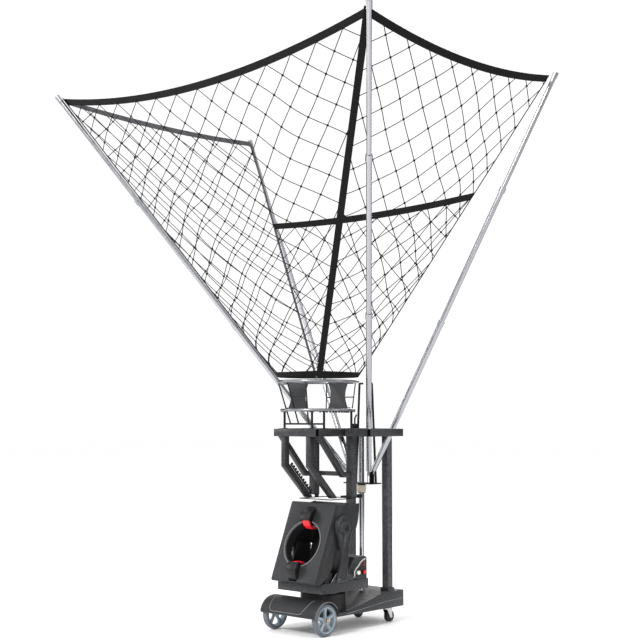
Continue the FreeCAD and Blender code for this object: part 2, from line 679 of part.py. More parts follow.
def carriage():
    """The plate that slides on the mast and carries the four pole hinges."""
    plate = box(("-128", "128"), ("398", "505"), ("carriage_z", "carriage_z + carriage_plate"))
    hinges = [shape for sign in (-1, 1) for names in POLES.values() for shape in hinge_ears(sign, *names)]
    bore = rod("mast_radius + fit_gap", 300, 0, "mast_y", "carriage_z - 100")
    bush = rod("mast_radius + 8", 62, 0, "mast_y", "carriage_z - 62")
    part("carriage", cut(fuse(plate, bush, *hinges), bore))
    arms = []
    for s in (-1, 1):
        foot, crown = (f"{s}*90", "490", "carriage_z + carriage_plate + 0.5"), (f"{s}*57", "490", "1630")
        arms += [rod_between(8, foot, crown), rod_between(7, crown, (f"{s}*26", "490", "1630"))]
        arms.append(rod(8, 1, *crown))
    part("lift_arms", group(fuse(*arms[:3]), fuse(*arms[3:])))


def latch():
    """The hand lever on the deck that locks the carriage."""
    part("latch_bracket", fuse(cut(
        box(("-34", "-14"), ("386", "416"), ("deck_top - 10", "deck_top + 32")),
        box(("-28", "-20"), ("380", "420"), ("deck_top + 2", "deck_top + 40")),
    ), rod(4, 24, -36, 401, "deck_top + 18", "X")))
    part("latch_lever", cut(
        fuse(outline([("396", "deck_top + 10"), ("406", "deck_top + 10"), ("406", "deck_top + 66"),
                      ("424", "deck_top + 92"), ("417", "deck_top + 97"), ("396", "deck_top + 69")],
                     -27.5, -20.5),
             rod(8, 7, -27.5, 401, "deck_top + 18", "X")),
        rod("4 + fit_gap", 60, -50, 401, "deck_top + 18", "X")))


def between(start, end, share):
    """The place at a share of the way from start to end."""
    return tuple(f"({a}) + (({b}) - ({a}))*{share}" for a, b in zip(start, end))


def pole(label, sign, hinge_y, tip_y):
    """Three nested tubes, two clamping collars, a tip cap and the hinge lug."""
    foot, tip = (f"{sign}*hinge_x", hinge_y, "hinge_z"), (f"{sign}*tip_x", tip_y, "tip_z")
    joints = (0.384, 0.713)
    spans = ((0.0105, joints[0], 0), (joints[0] - 0.03, joints[1], 2), (joints[1] - 0.03, 0.985, 4))
    solids = [
        cut(rod_between(f"pole_radius - {thin}", between(foot, tip, low), between(foot, tip, high)),
            rod_between(f"pole_radius - {thin} - 1.9", between(foot, tip, low), between(foot, tip, high)))
        for low, high, thin in spans
    ]
    for joint, thin in zip(joints, (2, 4)):
        low, high = between(foot, tip, joint), between(foot, tip, joint + 0.013)
        solids.append(cut(rod_between("pole_radius + 3", low, high),
                          rod_between(f"pole_radius - {thin}", low, high)))
    low, high = between(foot, tip, 0.985), between(foot, tip, 1.0)
    solids.append(rod_between("pole_radius - 1", low, high))
    way = (point(tip) - point(foot)).normalize()
    pin_way = Vector(0, 0, 1).cross(way).normalize()
    upright = Rotation(Vector(0, 0, 1), pin_way)
    slanted = Rotation(pin_way.cross(way), pin_way, way, "ZYX")

    def at_foot(thing, offset, turn):
        return put(thing, *(f"{at} + {away}" for at, away in zip(foot, offset)), turn)

    lug = bind(doc.addObject("Part::Box", "Lug"), Length=20, Width=11, Height=36)
    eye = bind(doc.addObject("Part::Cylinder", "Eye"), Radius=11, Height=11)
    bore = bind(doc.addObject("Part::Cylinder", "Bore"), Radius="5 + fit_gap", Height=60)
    at_foot(lug, slanted.multVec(Vector(-10, -5.5, 0)), slanted)
    at_foot(eye, pin_way * -5.5, upright)
    at_foot(bore, pin_way * -30, upright)
    solids.append(cut(fuse(lug, eye), bore))
    part(label, group(*solids))


# ------------------------------------------------------------------------ net
def net():
    """Four plain sheets stand for the net's knotted panels, four rods for its seams."""
    rise = "(net_top_z - net_foot_z)"
    foot, low = "net_foot_half", "net_foot_half - 58"
    sides = {
        "front": ("-net_front_y - net_foot_half", 1.0), "rear": ("net_rear_y - net_foot_half", 0.62),
        "left": ("net_corner_x - net_foot_half", 1.0), "right": ("net_corner_x - net_foot_half", 1.0),
    }
    for side, (reach, share) in sides.items():
        slant = f"{share}*sqrt(({reach})^2 + {rise}^2)"
        angle = value(f"atan(({reach})/{rise})")
        if side in ("front", "rear"):
            wide = f"({low}) + {share}*(net_corner_x - 16 - ({low}))"
            panel = outline([(f"-({low})", 0), (low, 0), (wide, slant), (f"-({wide})", slant)],
                            0, "net_sheet", "Y")
            way = 1 if side == "front" else -1
            put(panel, 0, f"{-way}*{foot}", "net_foot_z", Rotation(Vector(1, 0, 0), way * angle))
        else:
            panel = outline([(f"-({low})", 0), (low, 0), ("net_rear_y - 14", slant),
                             ("net_front_y + 16", slant)], 0, "net_sheet")
            way = 1 if side == "right" else -1
            put(panel, f"{way}*{foot}", 0, "net_foot_z", Rotation(Vector(0, 1, 0), way * angle))
        part(f"net_{side}", panel)
    part("net_seams", group(*[
        rod_between(6, (f"{s}*(net_foot_half - 24)", f"{way}*(net_foot_half - 24)", "net_foot_z"),
                    (f"{s}*net_corner_x", corner, "net_top_z"))
        for s in (-1, 1) for way, corner in ((-1, "net_front_y"), (1, "net_rear_y"))
    ]))


# ---------------------------------------------------------------------- build
base()
front_housing()
both_sides(front_wheel)
front_axle()
both_sides(caster)
turntable()
part("yokes", group(yoke(-1), yoke(1)))
control_box()
head()
throwing_wheels()
head_inside()
columns()
deck()
chute()
catch_ring()
mast()
carriage()
latch()
for end, (hinge_y, tip_y) in POLES.items():
    both_sides(lambda side, sign: pole(f"pole_{end}_{side}", sign, hinge_y, tip_y))
net()
doc.recompute()

for thing in doc.Objects:
    if {"Invalid", "Error"} & set(thing.State):
        raise RuntimeError(f"{thing.Name} ({thing.Label}) failed: {thing.State}")
os.makedirs("parts", exist_ok=True)
for node in NODES:
    if node.Shape.isNull() or not node.Shape.isValid():
        raise RuntimeError(f"{node.Label} has no valid shape")
    node.Shape.exportStep(f"parts/{node.Label}.step")
print(len(NODES), "sub-parts written")
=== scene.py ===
"""Looks for the ball launching machine: materials, rounded shells, wheels and the knotted net.

Metres, in the CAD model's frame: +Z up, the ball leaves towards -Y, +X is the machine's right side.
"""
import json
import math
import random

import bmesh
import bpy
from mathutils import Matrix, Vector


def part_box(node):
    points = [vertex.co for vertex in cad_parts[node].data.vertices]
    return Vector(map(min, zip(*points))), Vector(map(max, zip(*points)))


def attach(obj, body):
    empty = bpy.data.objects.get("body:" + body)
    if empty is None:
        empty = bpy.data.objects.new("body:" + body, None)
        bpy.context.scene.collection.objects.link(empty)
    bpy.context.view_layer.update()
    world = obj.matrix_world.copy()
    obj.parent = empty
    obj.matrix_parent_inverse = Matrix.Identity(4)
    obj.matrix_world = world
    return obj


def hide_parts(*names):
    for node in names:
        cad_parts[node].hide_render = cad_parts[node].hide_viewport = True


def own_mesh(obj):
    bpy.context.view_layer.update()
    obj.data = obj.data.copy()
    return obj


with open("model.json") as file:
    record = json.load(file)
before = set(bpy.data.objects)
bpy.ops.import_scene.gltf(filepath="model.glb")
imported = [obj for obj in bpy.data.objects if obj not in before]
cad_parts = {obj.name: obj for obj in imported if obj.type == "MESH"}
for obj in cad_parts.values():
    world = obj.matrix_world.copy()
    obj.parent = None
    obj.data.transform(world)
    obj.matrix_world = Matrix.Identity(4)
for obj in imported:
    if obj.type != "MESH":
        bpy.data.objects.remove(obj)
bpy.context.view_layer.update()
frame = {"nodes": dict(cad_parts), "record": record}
NODES = frame["nodes"]
BODY_OF = {node: body for body, nodes in frame["record"]["behaviour"]["bodies"].items() for node in nodes}
SLOT_OF = {entry["node"]: entry["material_slot"] for entry in frame["record"]["subparts"]}
random.seed(7)

X, Y, Z = Vector((1, 0, 0)), Vector((0, 1, 0)), Vector((0, 0, 1))
MM = 0.001
SIDES = (("left", -1), ("right", 1))
SQUARE = ((-1, -1), (1, -1), (1, 1), (-1, 1))     # the corners of a square, in order
WHITE_LIMIT = 1.06                                # just over white, so that the background stays clean


def middle(node):
    """The middle of a CAD node's box."""
    low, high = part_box(node)
    return (low + high) / 2


RING = middle("upper_ring")                       # the catch ring's centre


# --------------------------------------------------------------- camera and studio
def camera():
    eye = Vector((5.546, RING.y - 5.941, 1.383))
    azimuth, pitch = math.radians(42.93), math.radians(4.665)
    data = bpy.data.cameras.new("camera")
    data.lens, data.sensor_width = 68.15, 36.0
    data.clip_end = 100
    thing = bpy.data.objects.new("camera", data)
    thing.matrix_world = (Matrix.Translation(eye) @ Matrix.Rotation(azimuth, 4, "Z")
                          @ Matrix.Rotation(math.pi / 2 + pitch, 4, "X"))
    bpy.context.scene.collection.objects.link(thing)
    bpy.context.scene.camera = thing


def lamp(name, place, target, size, power):
    data = bpy.data.lights.new(name, "AREA")
    data.shape, data.size, data.energy = "DISK", size, power
    thing = bpy.data.objects.new(name, data)
    way = (Vector(target) - Vector(place)).normalized()
    thing.matrix_world = Matrix.Translation(place) @ way.to_track_quat("-Z", "Y").to_matrix().to_4x4()
    bpy.context.scene.collection.objects.link(thing)


def card(name, place, width, height):
    """A dark card that only reflections see; it gives round metal its dark streaks."""
    half, way = width / 2, Vector((-place[0], -place[1], 0)).normalized()
    side = way.cross(Z)
    centre = Vector(place)
    corners = [centre + side * a * half + Z * b * height / 2 for a, b in SQUARE]
    thing = mesh_object(name, corners, [(0, 1, 2, 3)])
    thing.data.materials.append(plain(name, (0.015, 0.015, 0.016), 1.0))
    thing.visible_camera = thing.visible_shadow = thing.visible_diffuse = False


def studio():
    """A pale floor, a white surround, four soft lamps and four cards."""
    reach = 60
    floor = mesh_object("studio_floor", [(a * reach, b * reach, 0) for a, b in SQUARE], [(0, 1, 2, 3)])
    floor.data.materials.append(plain("studio_floor", (0.95, 0.95, 0.95), 0.9))
    world = bpy.data.worlds.new("studio")
    world.use_nodes = True
    background = world.node_tree.nodes["Background"]
    background.inputs["Color"].default_value = (1.0, 1.0, 1.0, 1)
    background.inputs["Strength"].default_value = WHITE_LIMIT
    bpy.context.scene.world = world
    bpy.context.scene.view_settings.view_transform = "Standard"
    lamp("key", (0.6, -6.5, 5.2), (0, 0, 1.2), 1.6, 430)
    lamp("side", (6.5, 1.5, 3.2), (0, 0.2, 1.0), 1.2, 60)
    lamp("left", (-6.0, -3.0, 3.0), (0, 0, 1.0), 3.0, 90)
    lamp("back", (-2.5, 6.5, 4.5), (0, 0, 1.5), 3.0, 120)
    card("card_behind_left", (-9.0, -0.4, 3.0), 9.0, 8.0)
    card("card_behind_right", (1.1, 9.0, 3.0), 9.0, 8.0)
    card("card_front_left", (0.2, -8.5, 3.0), 3.6, 8.0)
    card("card_front_right", (8.5, -0.6, 3.0), 6.0, 8.0)


# ----------------------------------------------------------------------- materials
class Shader:
    """A Principled material and short ways to drive its colour, roughness and bump."""

    def __init__(self, name):
        self.material = bpy.data.materials.new(name)
        self.material.use_nodes = True
        self.tree = self.material.node_tree
        self.surface = self.tree.nodes["Principled BSDF"]
        self.place = self.node("ShaderNodeTexCoord").outputs["Object"]
        self.strip = self.tree.nodes[-1].outputs["UV"]

    def node(self, kind, **settings):
        node = self.tree.nodes.new(kind)
        for name, setting in settings.items():
            if name in node.inputs:
                node.inputs[name].default_value = setting
            else:
                setattr(node, name, setting)
        return node

    def link(self, source, target):
        self.tree.links.new(source, target)

    def stretched(self, scale, source=None):
        node = self.node("ShaderNodeMapping")
        node.inputs["Scale"].default_value = scale
        self.link(source or self.place, node.inputs["Vector"])
        return node.outputs["Vector"]

    def noise(self, scale, detail=4.0, source=None, roughness=0.55):
        node = self.node("ShaderNodeTexNoise", Scale=scale, Detail=detail, Roughness=roughness)
        self.link(source or self.place, node.inputs["Vector"])
        return node.outputs["Fac"]

    def wave(self, scale, source, direction="X", kind="SIN", distortion=0.0):
        node = self.node("ShaderNodeTexWave", Scale=scale, Distortion=distortion)
        node.wave_type, node.bands_direction, node.wave_profile = "BANDS", direction, kind
        self.link(source, node.inputs["Vector"])
        return node.outputs["Fac"]

    def span(self, value, low, high, start=0.0, end=1.0):
        """value from start..end mapped to low..high."""
        node = self.node("ShaderNodeMapRange")
        for name, setting in (("From Min", start), ("From Max", end), ("To Min", low), ("To Max", high)):
            node.inputs[name].default_value = setting
        self.link(value, node.inputs["Value"])
        return node.outputs["Result"]

    def combine(self, operation, one, two):
        node = self.node("ShaderNodeMath", operation=operation)
        for socket, value in zip(node.inputs, (one, two)):
            if isinstance(value, (int, float)):
                socket.default_value = value
            else:
                self.link(value, socket)
        return node.outputs["Value"]

    def blend(self, share, one, two):
        node = self.node("ShaderNodeMix", data_type="RGBA")
        self.link(share, node.inputs["Factor"])
        for socket, value in ((node.inputs[6], one), (node.inputs[7], two)):
            if isinstance(value, tuple):
                socket.default_value = (*value, 1.0)
            else:
                self.link(value, socket)
        return node.outputs[2]

    def colour(self, value):
        self.link(value, self.surface.inputs["Base Color"])

    def rough(self, value):
        self.link(value, self.surface.inputs["Roughness"])

    def bump(self, height, distance, strength=1.0, under=None):
        node = self.node("ShaderNodeBump", Distance=distance, Strength=strength)
        self.link(height, node.inputs["Height"])
        if under:
            self.link(under, node.inputs["Normal"])
        self.link(node.outputs["Normal"], self.surface.inputs["Normal"])
        return node.outputs["Normal"]

    def edges(self, low=0.52, high=0.62):
        """1 on outer edges and corners, where a lighter colour is painted as an edge highlight; noise breaks
        it up unevenly.
        """
        sharp = self.span(self.node("ShaderNodeNewGeometry").outputs["Pointiness"], 0, 1, low, high)
        return self.combine("MULTIPLY", sharp, self.span(self.noise(55, 3), 0.45, 1.0, 0.35, 0.65))


def plain(name, colour, roughness):
    shader = Shader(name)
    shader.surface.inputs["Roughness"].default_value = roughness
    shade = tuple(channel * 0.97 for channel in colour)
    shader.colour(shader.blend(shader.noise(1.5), shade, colour))
    return shader.material


def scaled(colour, factor):
    return tuple(min(1.0, channel * factor) for channel in colour)


def moulded(name, colour, roughness=0.5, grain=900, depth=0.10, edge_highlight=5.0):
    """Moulded plastic: leathery grain, faint clouding, edges painted lighter as a highlight."""
    shader = Shader(name)
    cloud = shader.blend(shader.noise(9, 5), scaled(colour, 0.90), scaled(colour, 1.10))
    # painted highlight: outer edges get a colour several times lighter than the base
    shader.colour(shader.blend(shader.edges(), cloud, scaled(colour, edge_highlight)))
    shader.rough(shader.span(shader.noise(30, 4), roughness - 0.06, roughness + 0.08, 0.3, 0.7))
    shader.surface.inputs["Specular IOR Level"].default_value = 0.24
    coarse = shader.bump(shader.noise(grain, 2), depth * MM, 0.5)
    shader.bump(shader.noise(grain * 2.7, 1), depth * 0.5 * MM, 0.4, coarse)
    return shader.material


def powder_coat(name, colour, roughness=0.42, edge_highlight=5.0):
    """Powder coated steel: orange peel, slight gloss changes, edges painted lighter as a highlight."""
    shader = Shader(name)
    cloud = shader.blend(shader.noise(6, 6), scaled(colour, 0.92), scaled(colour, 1.09))
    # painted highlight: outer edges get a colour several times lighter than the base
    shader.colour(shader.blend(shader.edges(), cloud, scaled(colour, edge_highlight)))
    shader.rough(shader.span(shader.noise(18, 5), roughness - 0.07, roughness + 0.09, 0.3, 0.7))
    shader.surface.inputs["Specular IOR Level"].default_value = 0.22
    shader.bump(shader.noise(520, 3), 0.07 * MM, 0.6)
    return shader.material


def metal(name, colour, roughness, brushed=None, depth=0.02):
    """Bare metal; brushed stretches the grain along the axes with a small scale."""
    shader = Shader(name)
    shader.surface.inputs["Metallic"].default_value = 1.0
    grain = shader.noise(1.0, 3, shader.stretched(brushed or (260, 260, 260)))
    smudge = shader.noise(14, 5)
    shader.colour(shader.blend(smudge, scaled(colour, 0.93), scaled(colour, 1.04)))
    shader.rough(shader.combine("ADD", shader.span(grain, -0.04, 0.05, 0.3, 0.7),
                                shader.span(smudge, roughness - 0.03, roughness + 0.06, 0.3, 0.7)))
    if depth:
        shader.bump(grain, depth * MM, 0.5)
    return shader.material


def rubber(name, colour, roughness=0.68, grain=420):
    shader = Shader(name)
    dust = shader.span(shader.noise(24, 6), 0.0, 1.0, 0.42, 0.75)
    shader.colour(shader.blend(dust, colour, scaled(colour, 1.35)))
    shader.rough(shader.span(dust, roughness - 0.05, roughness + 0.12))
    shader.bump(shader.noise(grain, 4), 0.12 * MM, 0.6)
    return shader.material


def webbing(name, colour):
    """Woven strap: UV runs in metres, along and across it, and the weave is fine ribs both ways."""
    shader = Shader(name)
    along = shader.wave(1.0, shader.stretched((2600, 0, 0), shader.strip), "X")
    across = shader.wave(1.0, shader.stretched((0, 1900, 0), shader.strip), "Y")
    weave = shader.combine("MULTIPLY", along, across)
    worn = shader.blend(shader.noise(35, 4), scaled(colour, 0.8), scaled(colour, 1.5))
    shader.colour(shader.blend(weave, scaled(colour, 0.55), worn))
    shader.surface.inputs["Roughness"].default_value = 0.85
    shader.surface.inputs["Specular IOR Level"].default_value = 0.2
    shader.bump(weave, 0.5 * MM, 0.9)
    return shader.material


def cord(name, colour):
    """Braided cord: UV runs in metres along it and 0..1 round it."""
    shader = Shader(name)
    lay = shader.node("ShaderNodeMapping")
    lay.inputs["Rotation"].default_value = (0, 0, 0.6)
    lay.inputs["Scale"].default_value = (900, 4, 1)
    shader.link(shader.strip, lay.inputs["Vector"])
    braid = shader.wave(1.0, lay.outputs["Vector"], "DIAGONAL")
    shader.colour(shader.blend(braid, scaled(colour, 0.6), scaled(colour, 1.5)))
    shader.surface.inputs["Roughness"].default_value = 0.8
    shader.surface.inputs["Specular IOR Level"].default_value = 0.2
    shader.bump(braid, 0.4 * MM, 0.8)
    return shader.material


CHARCOAL = (0.0165, 0.017, 0.0185)
# the fifth number given to moulded and powder_coat sets how much lighter the painted edge highlight is
MATERIALS = {
    "charcoal_plastic": moulded("charcoal_plastic", CHARCOAL, 0.46),
    "charcoal_steel": powder_coat("charcoal_steel", (0.008, 0.0082, 0.009), 0.30, 9.0),
    "dark_steel": powder_coat("dark_steel", (0.005, 0.005, 0.0055), 0.42),
    "black_plastic": moulded("black_plastic", (0.008, 0.008, 0.0085), 0.36, 600, 0.03, 3.0),
    "black_rubber": rubber("black_rubber", (0.006, 0.006, 0.006)),
    "tyre_grey": rubber("tyre_grey", (0.10, 0.11, 0.13), 0.6),
    "hub_grey": moulded("hub_grey", (0.25, 0.30, 0.345), 0.38, 700, 0.05, 1.3),
    "red_urethane": rubber("red_urethane", (0.68, 0.006, 0.016), 0.42, 900),
    "chrome": metal("chrome", (0.50, 0.51, 0.53), 0.14, depth=0.0),
    "aluminium": metal("aluminium", (0.40, 0.41, 0.43), 0.26, (90, 90, 8), 0.0),
    "steel": metal("steel", (0.25, 0.255, 0.27), 0.30, (90, 90, 20), 0.0),
    "brass": metal("brass", (0.66, 0.44, 0.17), 0.28),
    "net_cord": cord("net_cord", (0.004, 0.004, 0.0045)),
    "red_plastic": moulded("red_plastic", (0.70, 0.012, 0.014), 0.25, 900, 0.02, 1.2),
    "white_plastic": moulded("white_plastic", (0.80, 0.80, 0.78), 0.3, 900, 0.02, 1.05),
    "circuit_green": moulded("circuit_green", (0.015, 0.13, 0.05), 0.4),
}
# a lighter grey for lips and beads, painted to stand in for the thin highlights along those edges
PAINTED_HIGHLIGHT_GREY = moulded("painted_highlight_grey", (0.12, 0.121, 0.126), 0.4, edge_highlight=1.5)
OWN_LOOK = {
    "guard_panels": moulded("guard_grey", (0.060, 0.061, 0.064), 0.55, edge_highlight=1.5),
    "inner_cradle": MATERIALS["black_plastic"], "ball_guide": MATERIALS["black_plastic"],
    **{node: MATERIALS["dark_steel"] for node in ("carriage", "intake_frame", "throwing_motors")},
}
WEBBING = webbing("webbing", (0.006, 0.006, 0.007))
GREY_WEBBING = webbing("grey_webbing", (0.11, 0.11, 0.12))


# --------------------------------------------------------------------- mesh makers
def mesh_object(name, vertices, faces, strip=None):
    """An object of plain mesh; strip gives each vertex its UV place, in metres."""
    mesh = bpy.data.meshes.new(name)
    mesh.from_pydata([tuple(v) for v in vertices], [], faces)
    if strip:
        layer = mesh.uv_layers.new(name="strip")
        for loop in mesh.loops:
            layer.data[loop.index].uv = strip[loop.vertex_index]
    mesh.update()
    thing = bpy.data.objects.new(name, mesh)
    bpy.context.scene.collection.objects.link(thing)
    return thing


def smooth(thing, angle=32):
    """Smooth shading with edges over the angle kept sharp, outward faces."""
    work = bmesh.new()
    work.from_mesh(thing.data)
    bmesh.ops.recalc_face_normals(work, faces=work.faces)
    limit = math.radians(angle)
    for face in work.faces:
        face.smooth = True
    for edge in work.edges:
        edge.smooth = edge.is_manifold and edge.calc_face_angle(0.0) < limit
    work.to_mesh(thing.data)
    work.free()
    return thing


def outward(thing):
    """Weld coincident points and turn every face outwards."""
    work = bmesh.new()
    work.from_mesh(thing.data)
    bmesh.ops.remove_doubles(work, verts=work.verts, dist=1e-6)
    bmesh.ops.recalc_face_normals(work, faces=work.faces)
    work.to_mesh(thing.data)
    work.free()
    return thing


def apply(thing):
    """Turn the modifiers into mesh."""
    bpy.context.view_layer.update()
    final = bpy.data.meshes.new_from_object(thing.evaluated_get(bpy.context.evaluated_depsgraph_get()))
    thing.modifiers.clear()
    thing.data = final
    return thing


def bevel(thing, width, segments=2, angle=30):
    modifier = thing.modifiers.new("bevel", "BEVEL")
    modifier.width, modifier.segments = width, segments
    modifier.limit_method, modifier.angle_limit = "ANGLE", math.radians(angle)
    modifier.use_clamp_overlap = True
    return apply(thing)


def boolean(thing, operation, *others):
    for other in others:
        modifier = thing.modifiers.new("boolean", "BOOLEAN")
        modifier.operation, modifier.object, modifier.solver = operation, other, "EXACT"
        apply(thing)
        bpy.data.objects.remove(other)
    return thing


def finish(thing, body, slot, material=None, replaced=(), angle=32):
    """Shade a piece, give it its material (the slot's, unless another is given) and let it ride on its body.
    """
    smooth(thing, angle)
    thing.data.materials.clear()
    thing.data.materials.append(material or MATERIALS[slot])
    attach(thing, body)
    if replaced:
        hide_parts(*replaced)
    return thing


def soften(node, width, segments=2, angle=30):
    """The CAD node's own shape with its edges rounded."""
    work = bmesh.new()
    work.from_mesh(NODES[node].data)
    bmesh.ops.remove_doubles(work, verts=work.verts, dist=2e-6)
    bmesh.ops.dissolve_limit(work, angle_limit=math.radians(0.6), verts=work.verts, edges=work.edges)
    mesh = bpy.data.meshes.new(f"{node}_shell")
    work.to_mesh(mesh)
    work.free()
    thing = bpy.data.objects.new(f"{node}_shell", mesh)
    bpy.context.scene.collection.objects.link(thing)
    bevel(thing, width, segments, angle)
    return finish(thing, BODY_OF[node], SLOT_OF[node], OWN_LOOK.get(node), (node,))


def stitched(rings, count, start=0, closed=False):
    """Faces between neighbouring rings of count vertices; closed joins the last ring to the first."""
    faces = []
    for ring in range(rings if closed else rings - 1):
        here, there = start + ring * count, start + (ring + 1) % rings * count
        for i in range(count):
            after = (i + 1) % count
            faces.append((here + i, here + after, there + after, there + i))
    return faces


def lids(vertices, count):
    """The two faces that close the first and the last ring."""
    return [tuple(range(count - 1, -1, -1)), tuple(range(len(vertices) - count, len(vertices)))]


def prism(name, corners, low, high):
    """A flat outline of (along, up) corners, thick along X from low to high."""
    count = len(corners)
    vertices = [(depth, *corner) for depth in (low, high) for corner in corners]
    return outward(mesh_object(name, vertices, lids(vertices, count) + stitched(2, count)))


def block(name, low, high):
    """A plain block between two corners, used as a cutter."""
    (y_low, z_low), (y_high, z_high) = low[1:], high[1:]
    return prism(name, [(y_low, z_low), (y_high, z_low), (y_high, z_high), (y_low, z_high)], low[0], high[0])


def basis(axis):
    """Two directions square to an axis."""
    axis = Vector(axis).normalized()
    side = axis.cross(Z if abs(axis.z) < 0.9 else X).normalized()
    return side, axis.cross(side)


def revolve(name, profile, centre, axis, steps=48):
    """A closed profile of (radius, along) points turned round an axis through the centre."""
    axis = Vector(axis).normalized()
    side, up = basis(axis)
    vertices = [
        Vector(centre) + axis * along + (side * math.cos(turn) + up * math.sin(turn)) * radius
        for turn in (2 * math.pi * i / steps for i in range(steps)) for radius, along in profile
    ]
    return outward(mesh_object(name, vertices, stitched(steps, len(profile), closed=True)))


def turned(name, profile, centre, axis, steps, body, slot, material=None, replaced=()):
    """A finished piece made by revolve."""
    return finish(revolve(name, profile, centre, axis, steps), body, slot, material, replaced)


def drill(radius, low, high, centre, axis, steps=48):
    """A solid cylinder that cuts a hole; low and high are counted along the axis from the centre."""
    return revolve("drill", [(0.0, low), (radius, low), (radius, high), (0.0, high)], centre, axis, steps)


def mirrored(profile):
    """A profile of (radius, along) points, and the same again below the middle."""
    return profile + [(radius, -along) for radius, along in reversed(profile)]


def rounded(radius_in, radius_out, low, high, edge, steps=3):
    """The profile of a ring or disc with rounded rims, for revolve."""
    profile = [(radius_in, low), (radius_in, high)]
    for centre, start in ((high - edge, math.pi / 2), (low + edge, 0)):
        for i in range(steps + 1):
            turn = start - math.pi / 2 * i / steps
            profile.append((radius_out - edge + edge * math.cos(turn), centre + edge * math.sin(turn)))
    return profile


def tube(points, radius, sides=6):
    """Vertices, faces and strip places of a round tube along points; its ends are capped."""
    points = [Vector(p) for p in points]
    vertices, strip = [], []
    travelled, side = 0.0, None
    for i, place in enumerate(points):
        before, after = points[max(i - 1, 0)], points[min(i + 1, len(points) - 1)]
        way = (after - before).normalized()
        side = basis(way)[0] if side is None else (side - way * side.dot(way)).normalized()
        up = way.cross(side)
        travelled += (place - before).length
        for j in range(sides):
            turn = 2 * math.pi * j / sides
            vertices.append(place + (side * math.cos(turn) + up * math.sin(turn)) * radius)
            strip.append((travelled, j / sides))
    return vertices, stitched(len(points), sides) + lids(vertices, sides), strip


def ribbon(rows, thickness):
    """A flat strap; rows are pairs of points on its two edges."""
    vertices, strip = [], []
    travelled = 0.0
    for i, (one, two) in enumerate(rows):
        before, after = rows[max(i - 1, 0)], rows[min(i + 1, len(rows) - 1)]
        along = (after[0] + after[1]) - (before[0] + before[1])
        normal = along.cross(two - one).normalized() * thickness / 2
        travelled += ((one + two) / 2 - (before[0] + before[1]) / 2).length if i else 0.0
        width = (two - one).length
        vertices += [one + normal, two + normal, two - normal, one - normal]
        strip += [(travelled, 0.0), (travelled, width), (travelled, width), (travelled, 0.0)]
    return vertices, stitched(len(rows), 4) + lids(vertices, 4), strip


def joined(name, shapes):
    """One object of several (vertices, faces, strip) shapes."""
    vertices, faces, strip = [], [], []
    for more_vertices, more_faces, more_strip in shapes:
        start = len(vertices)
        vertices += more_vertices
        strip += more_strip
        faces += [tuple(index + start for index in face) for face in more_faces]
    return mesh_object(name, vertices, faces, strip)


# ------------------------------------------------------------- CAD shapes, rounded
def rounded_nodes():
    """The CAD nodes whose own shape is right, with their edges rounded by so many millimetres."""
    edge = {
        "base_cover": 1.6, "tray": 1.4, "control_box": 1.4, "control_panel": 1.0,
        "columns": 1.1, "middle_posts": 1.1, "deck_frame": 1.2, "chute_rails": 1.2, "chute_braces": 1.2,
        "chute_pads": 0.8, "intake_frame": 1.2, "ring_legs": 1.0, "guard_panels": 0.7, "guard_rods": 0.8,
        "carriage": 0.8, "lift_arms": 0.8, "latch_bracket": 0.7, "latch_lever": 0.8, "base_plate": 0.8,
        "power_inlet": 1.5, "start_button": 1.2, "speed_knob": 1.5, "indicator_lamps": 0.8,
        "tilt_hubs": 2.0, "inner_cradle": 0.8, "ball_guide": 0.8,
        "caster_fork_left": 0.9, "caster_fork_right": 0.9,
        "caster_wheel_left": 3.0, "caster_wheel_right": 3.0,
        "power_supply": 2.0,
    }
    for node, width in edge.items():
        soften(node, width * MM)


def bare_nodes():
    """CAD nodes that keep their own mesh and get a detailed material."""
    for node, thing in NODES.items():
        if not thing.hide_render:
            thing.data.materials.clear()
            thing.data.materials.append(OWN_LOOK.get(node, MATERIALS[SLOT_OF[node]]))
            for face in thing.data.polygons:
                face.use_smooth = True


# ------------------------------------------------------------------ outline curves
def flowing(corners, steps=6):
    """A closed outline from (a, b, radius) corners; each corner becomes an arc of its radius."""
    points = [Vector((a, b)) for a, b, _ in corners]
    outline = []
    for i, (_, _, radius) in enumerate(corners):
        here, before, after = points[i], points[i - 1], points[(i + 1) % len(points)]
        if not radius:
            outline.append(tuple(here))
            continue
        one, two = before - here, after - here
        half = one.angle(two) / 2
        reach = min(radius / math.tan(half), 0.49 * one.length, 0.49 * two.length)
        start, end = here + one.normalized() * reach, here + two.normalized() * reach
        centre = here + (one.normalized() + two.normalized()).normalized() * reach / math.cos(half)
        sweep = math.pi - 2 * half
        turn = sweep if (start - centre).cross(end - centre) > 0 else -sweep
        for step in range(steps + 1):
            angle = turn * step / steps
            spoke = start - centre
            outline.append((centre.x + spoke.x * math.cos(angle) - spoke.y * math.sin(angle),
                            centre.y + spoke.x * math.sin(angle) + spoke.y * math.cos(angle)))
    return outline


def grown(outline, distance):
    """The outline moved outwards (or inwards, if negative), corner by corner."""
    area = sum(a[0] * b[1] - b[0] * a[1] for a, b in zip(outline, outline[1:] + outline[:1]))
    sign = 1 if area > 0 else -1
    result = []
    for i, here in enumerate(outline):
        before, after = Vector(outline[i - 1]), Vector(outline[(i + 1) % len(outline)])
        here = Vector(here)
        one, two = (here - before).normalized(), (after - here).normalized()
        normal = Vector((one.y + two.y, -one.x - two.x)).normalized() * sign
        stretch = 1 / max(0.4, normal.dot(Vector((one.y, -one.x)) * sign))
        result.append(tuple(here + normal * distance * stretch))
    return result


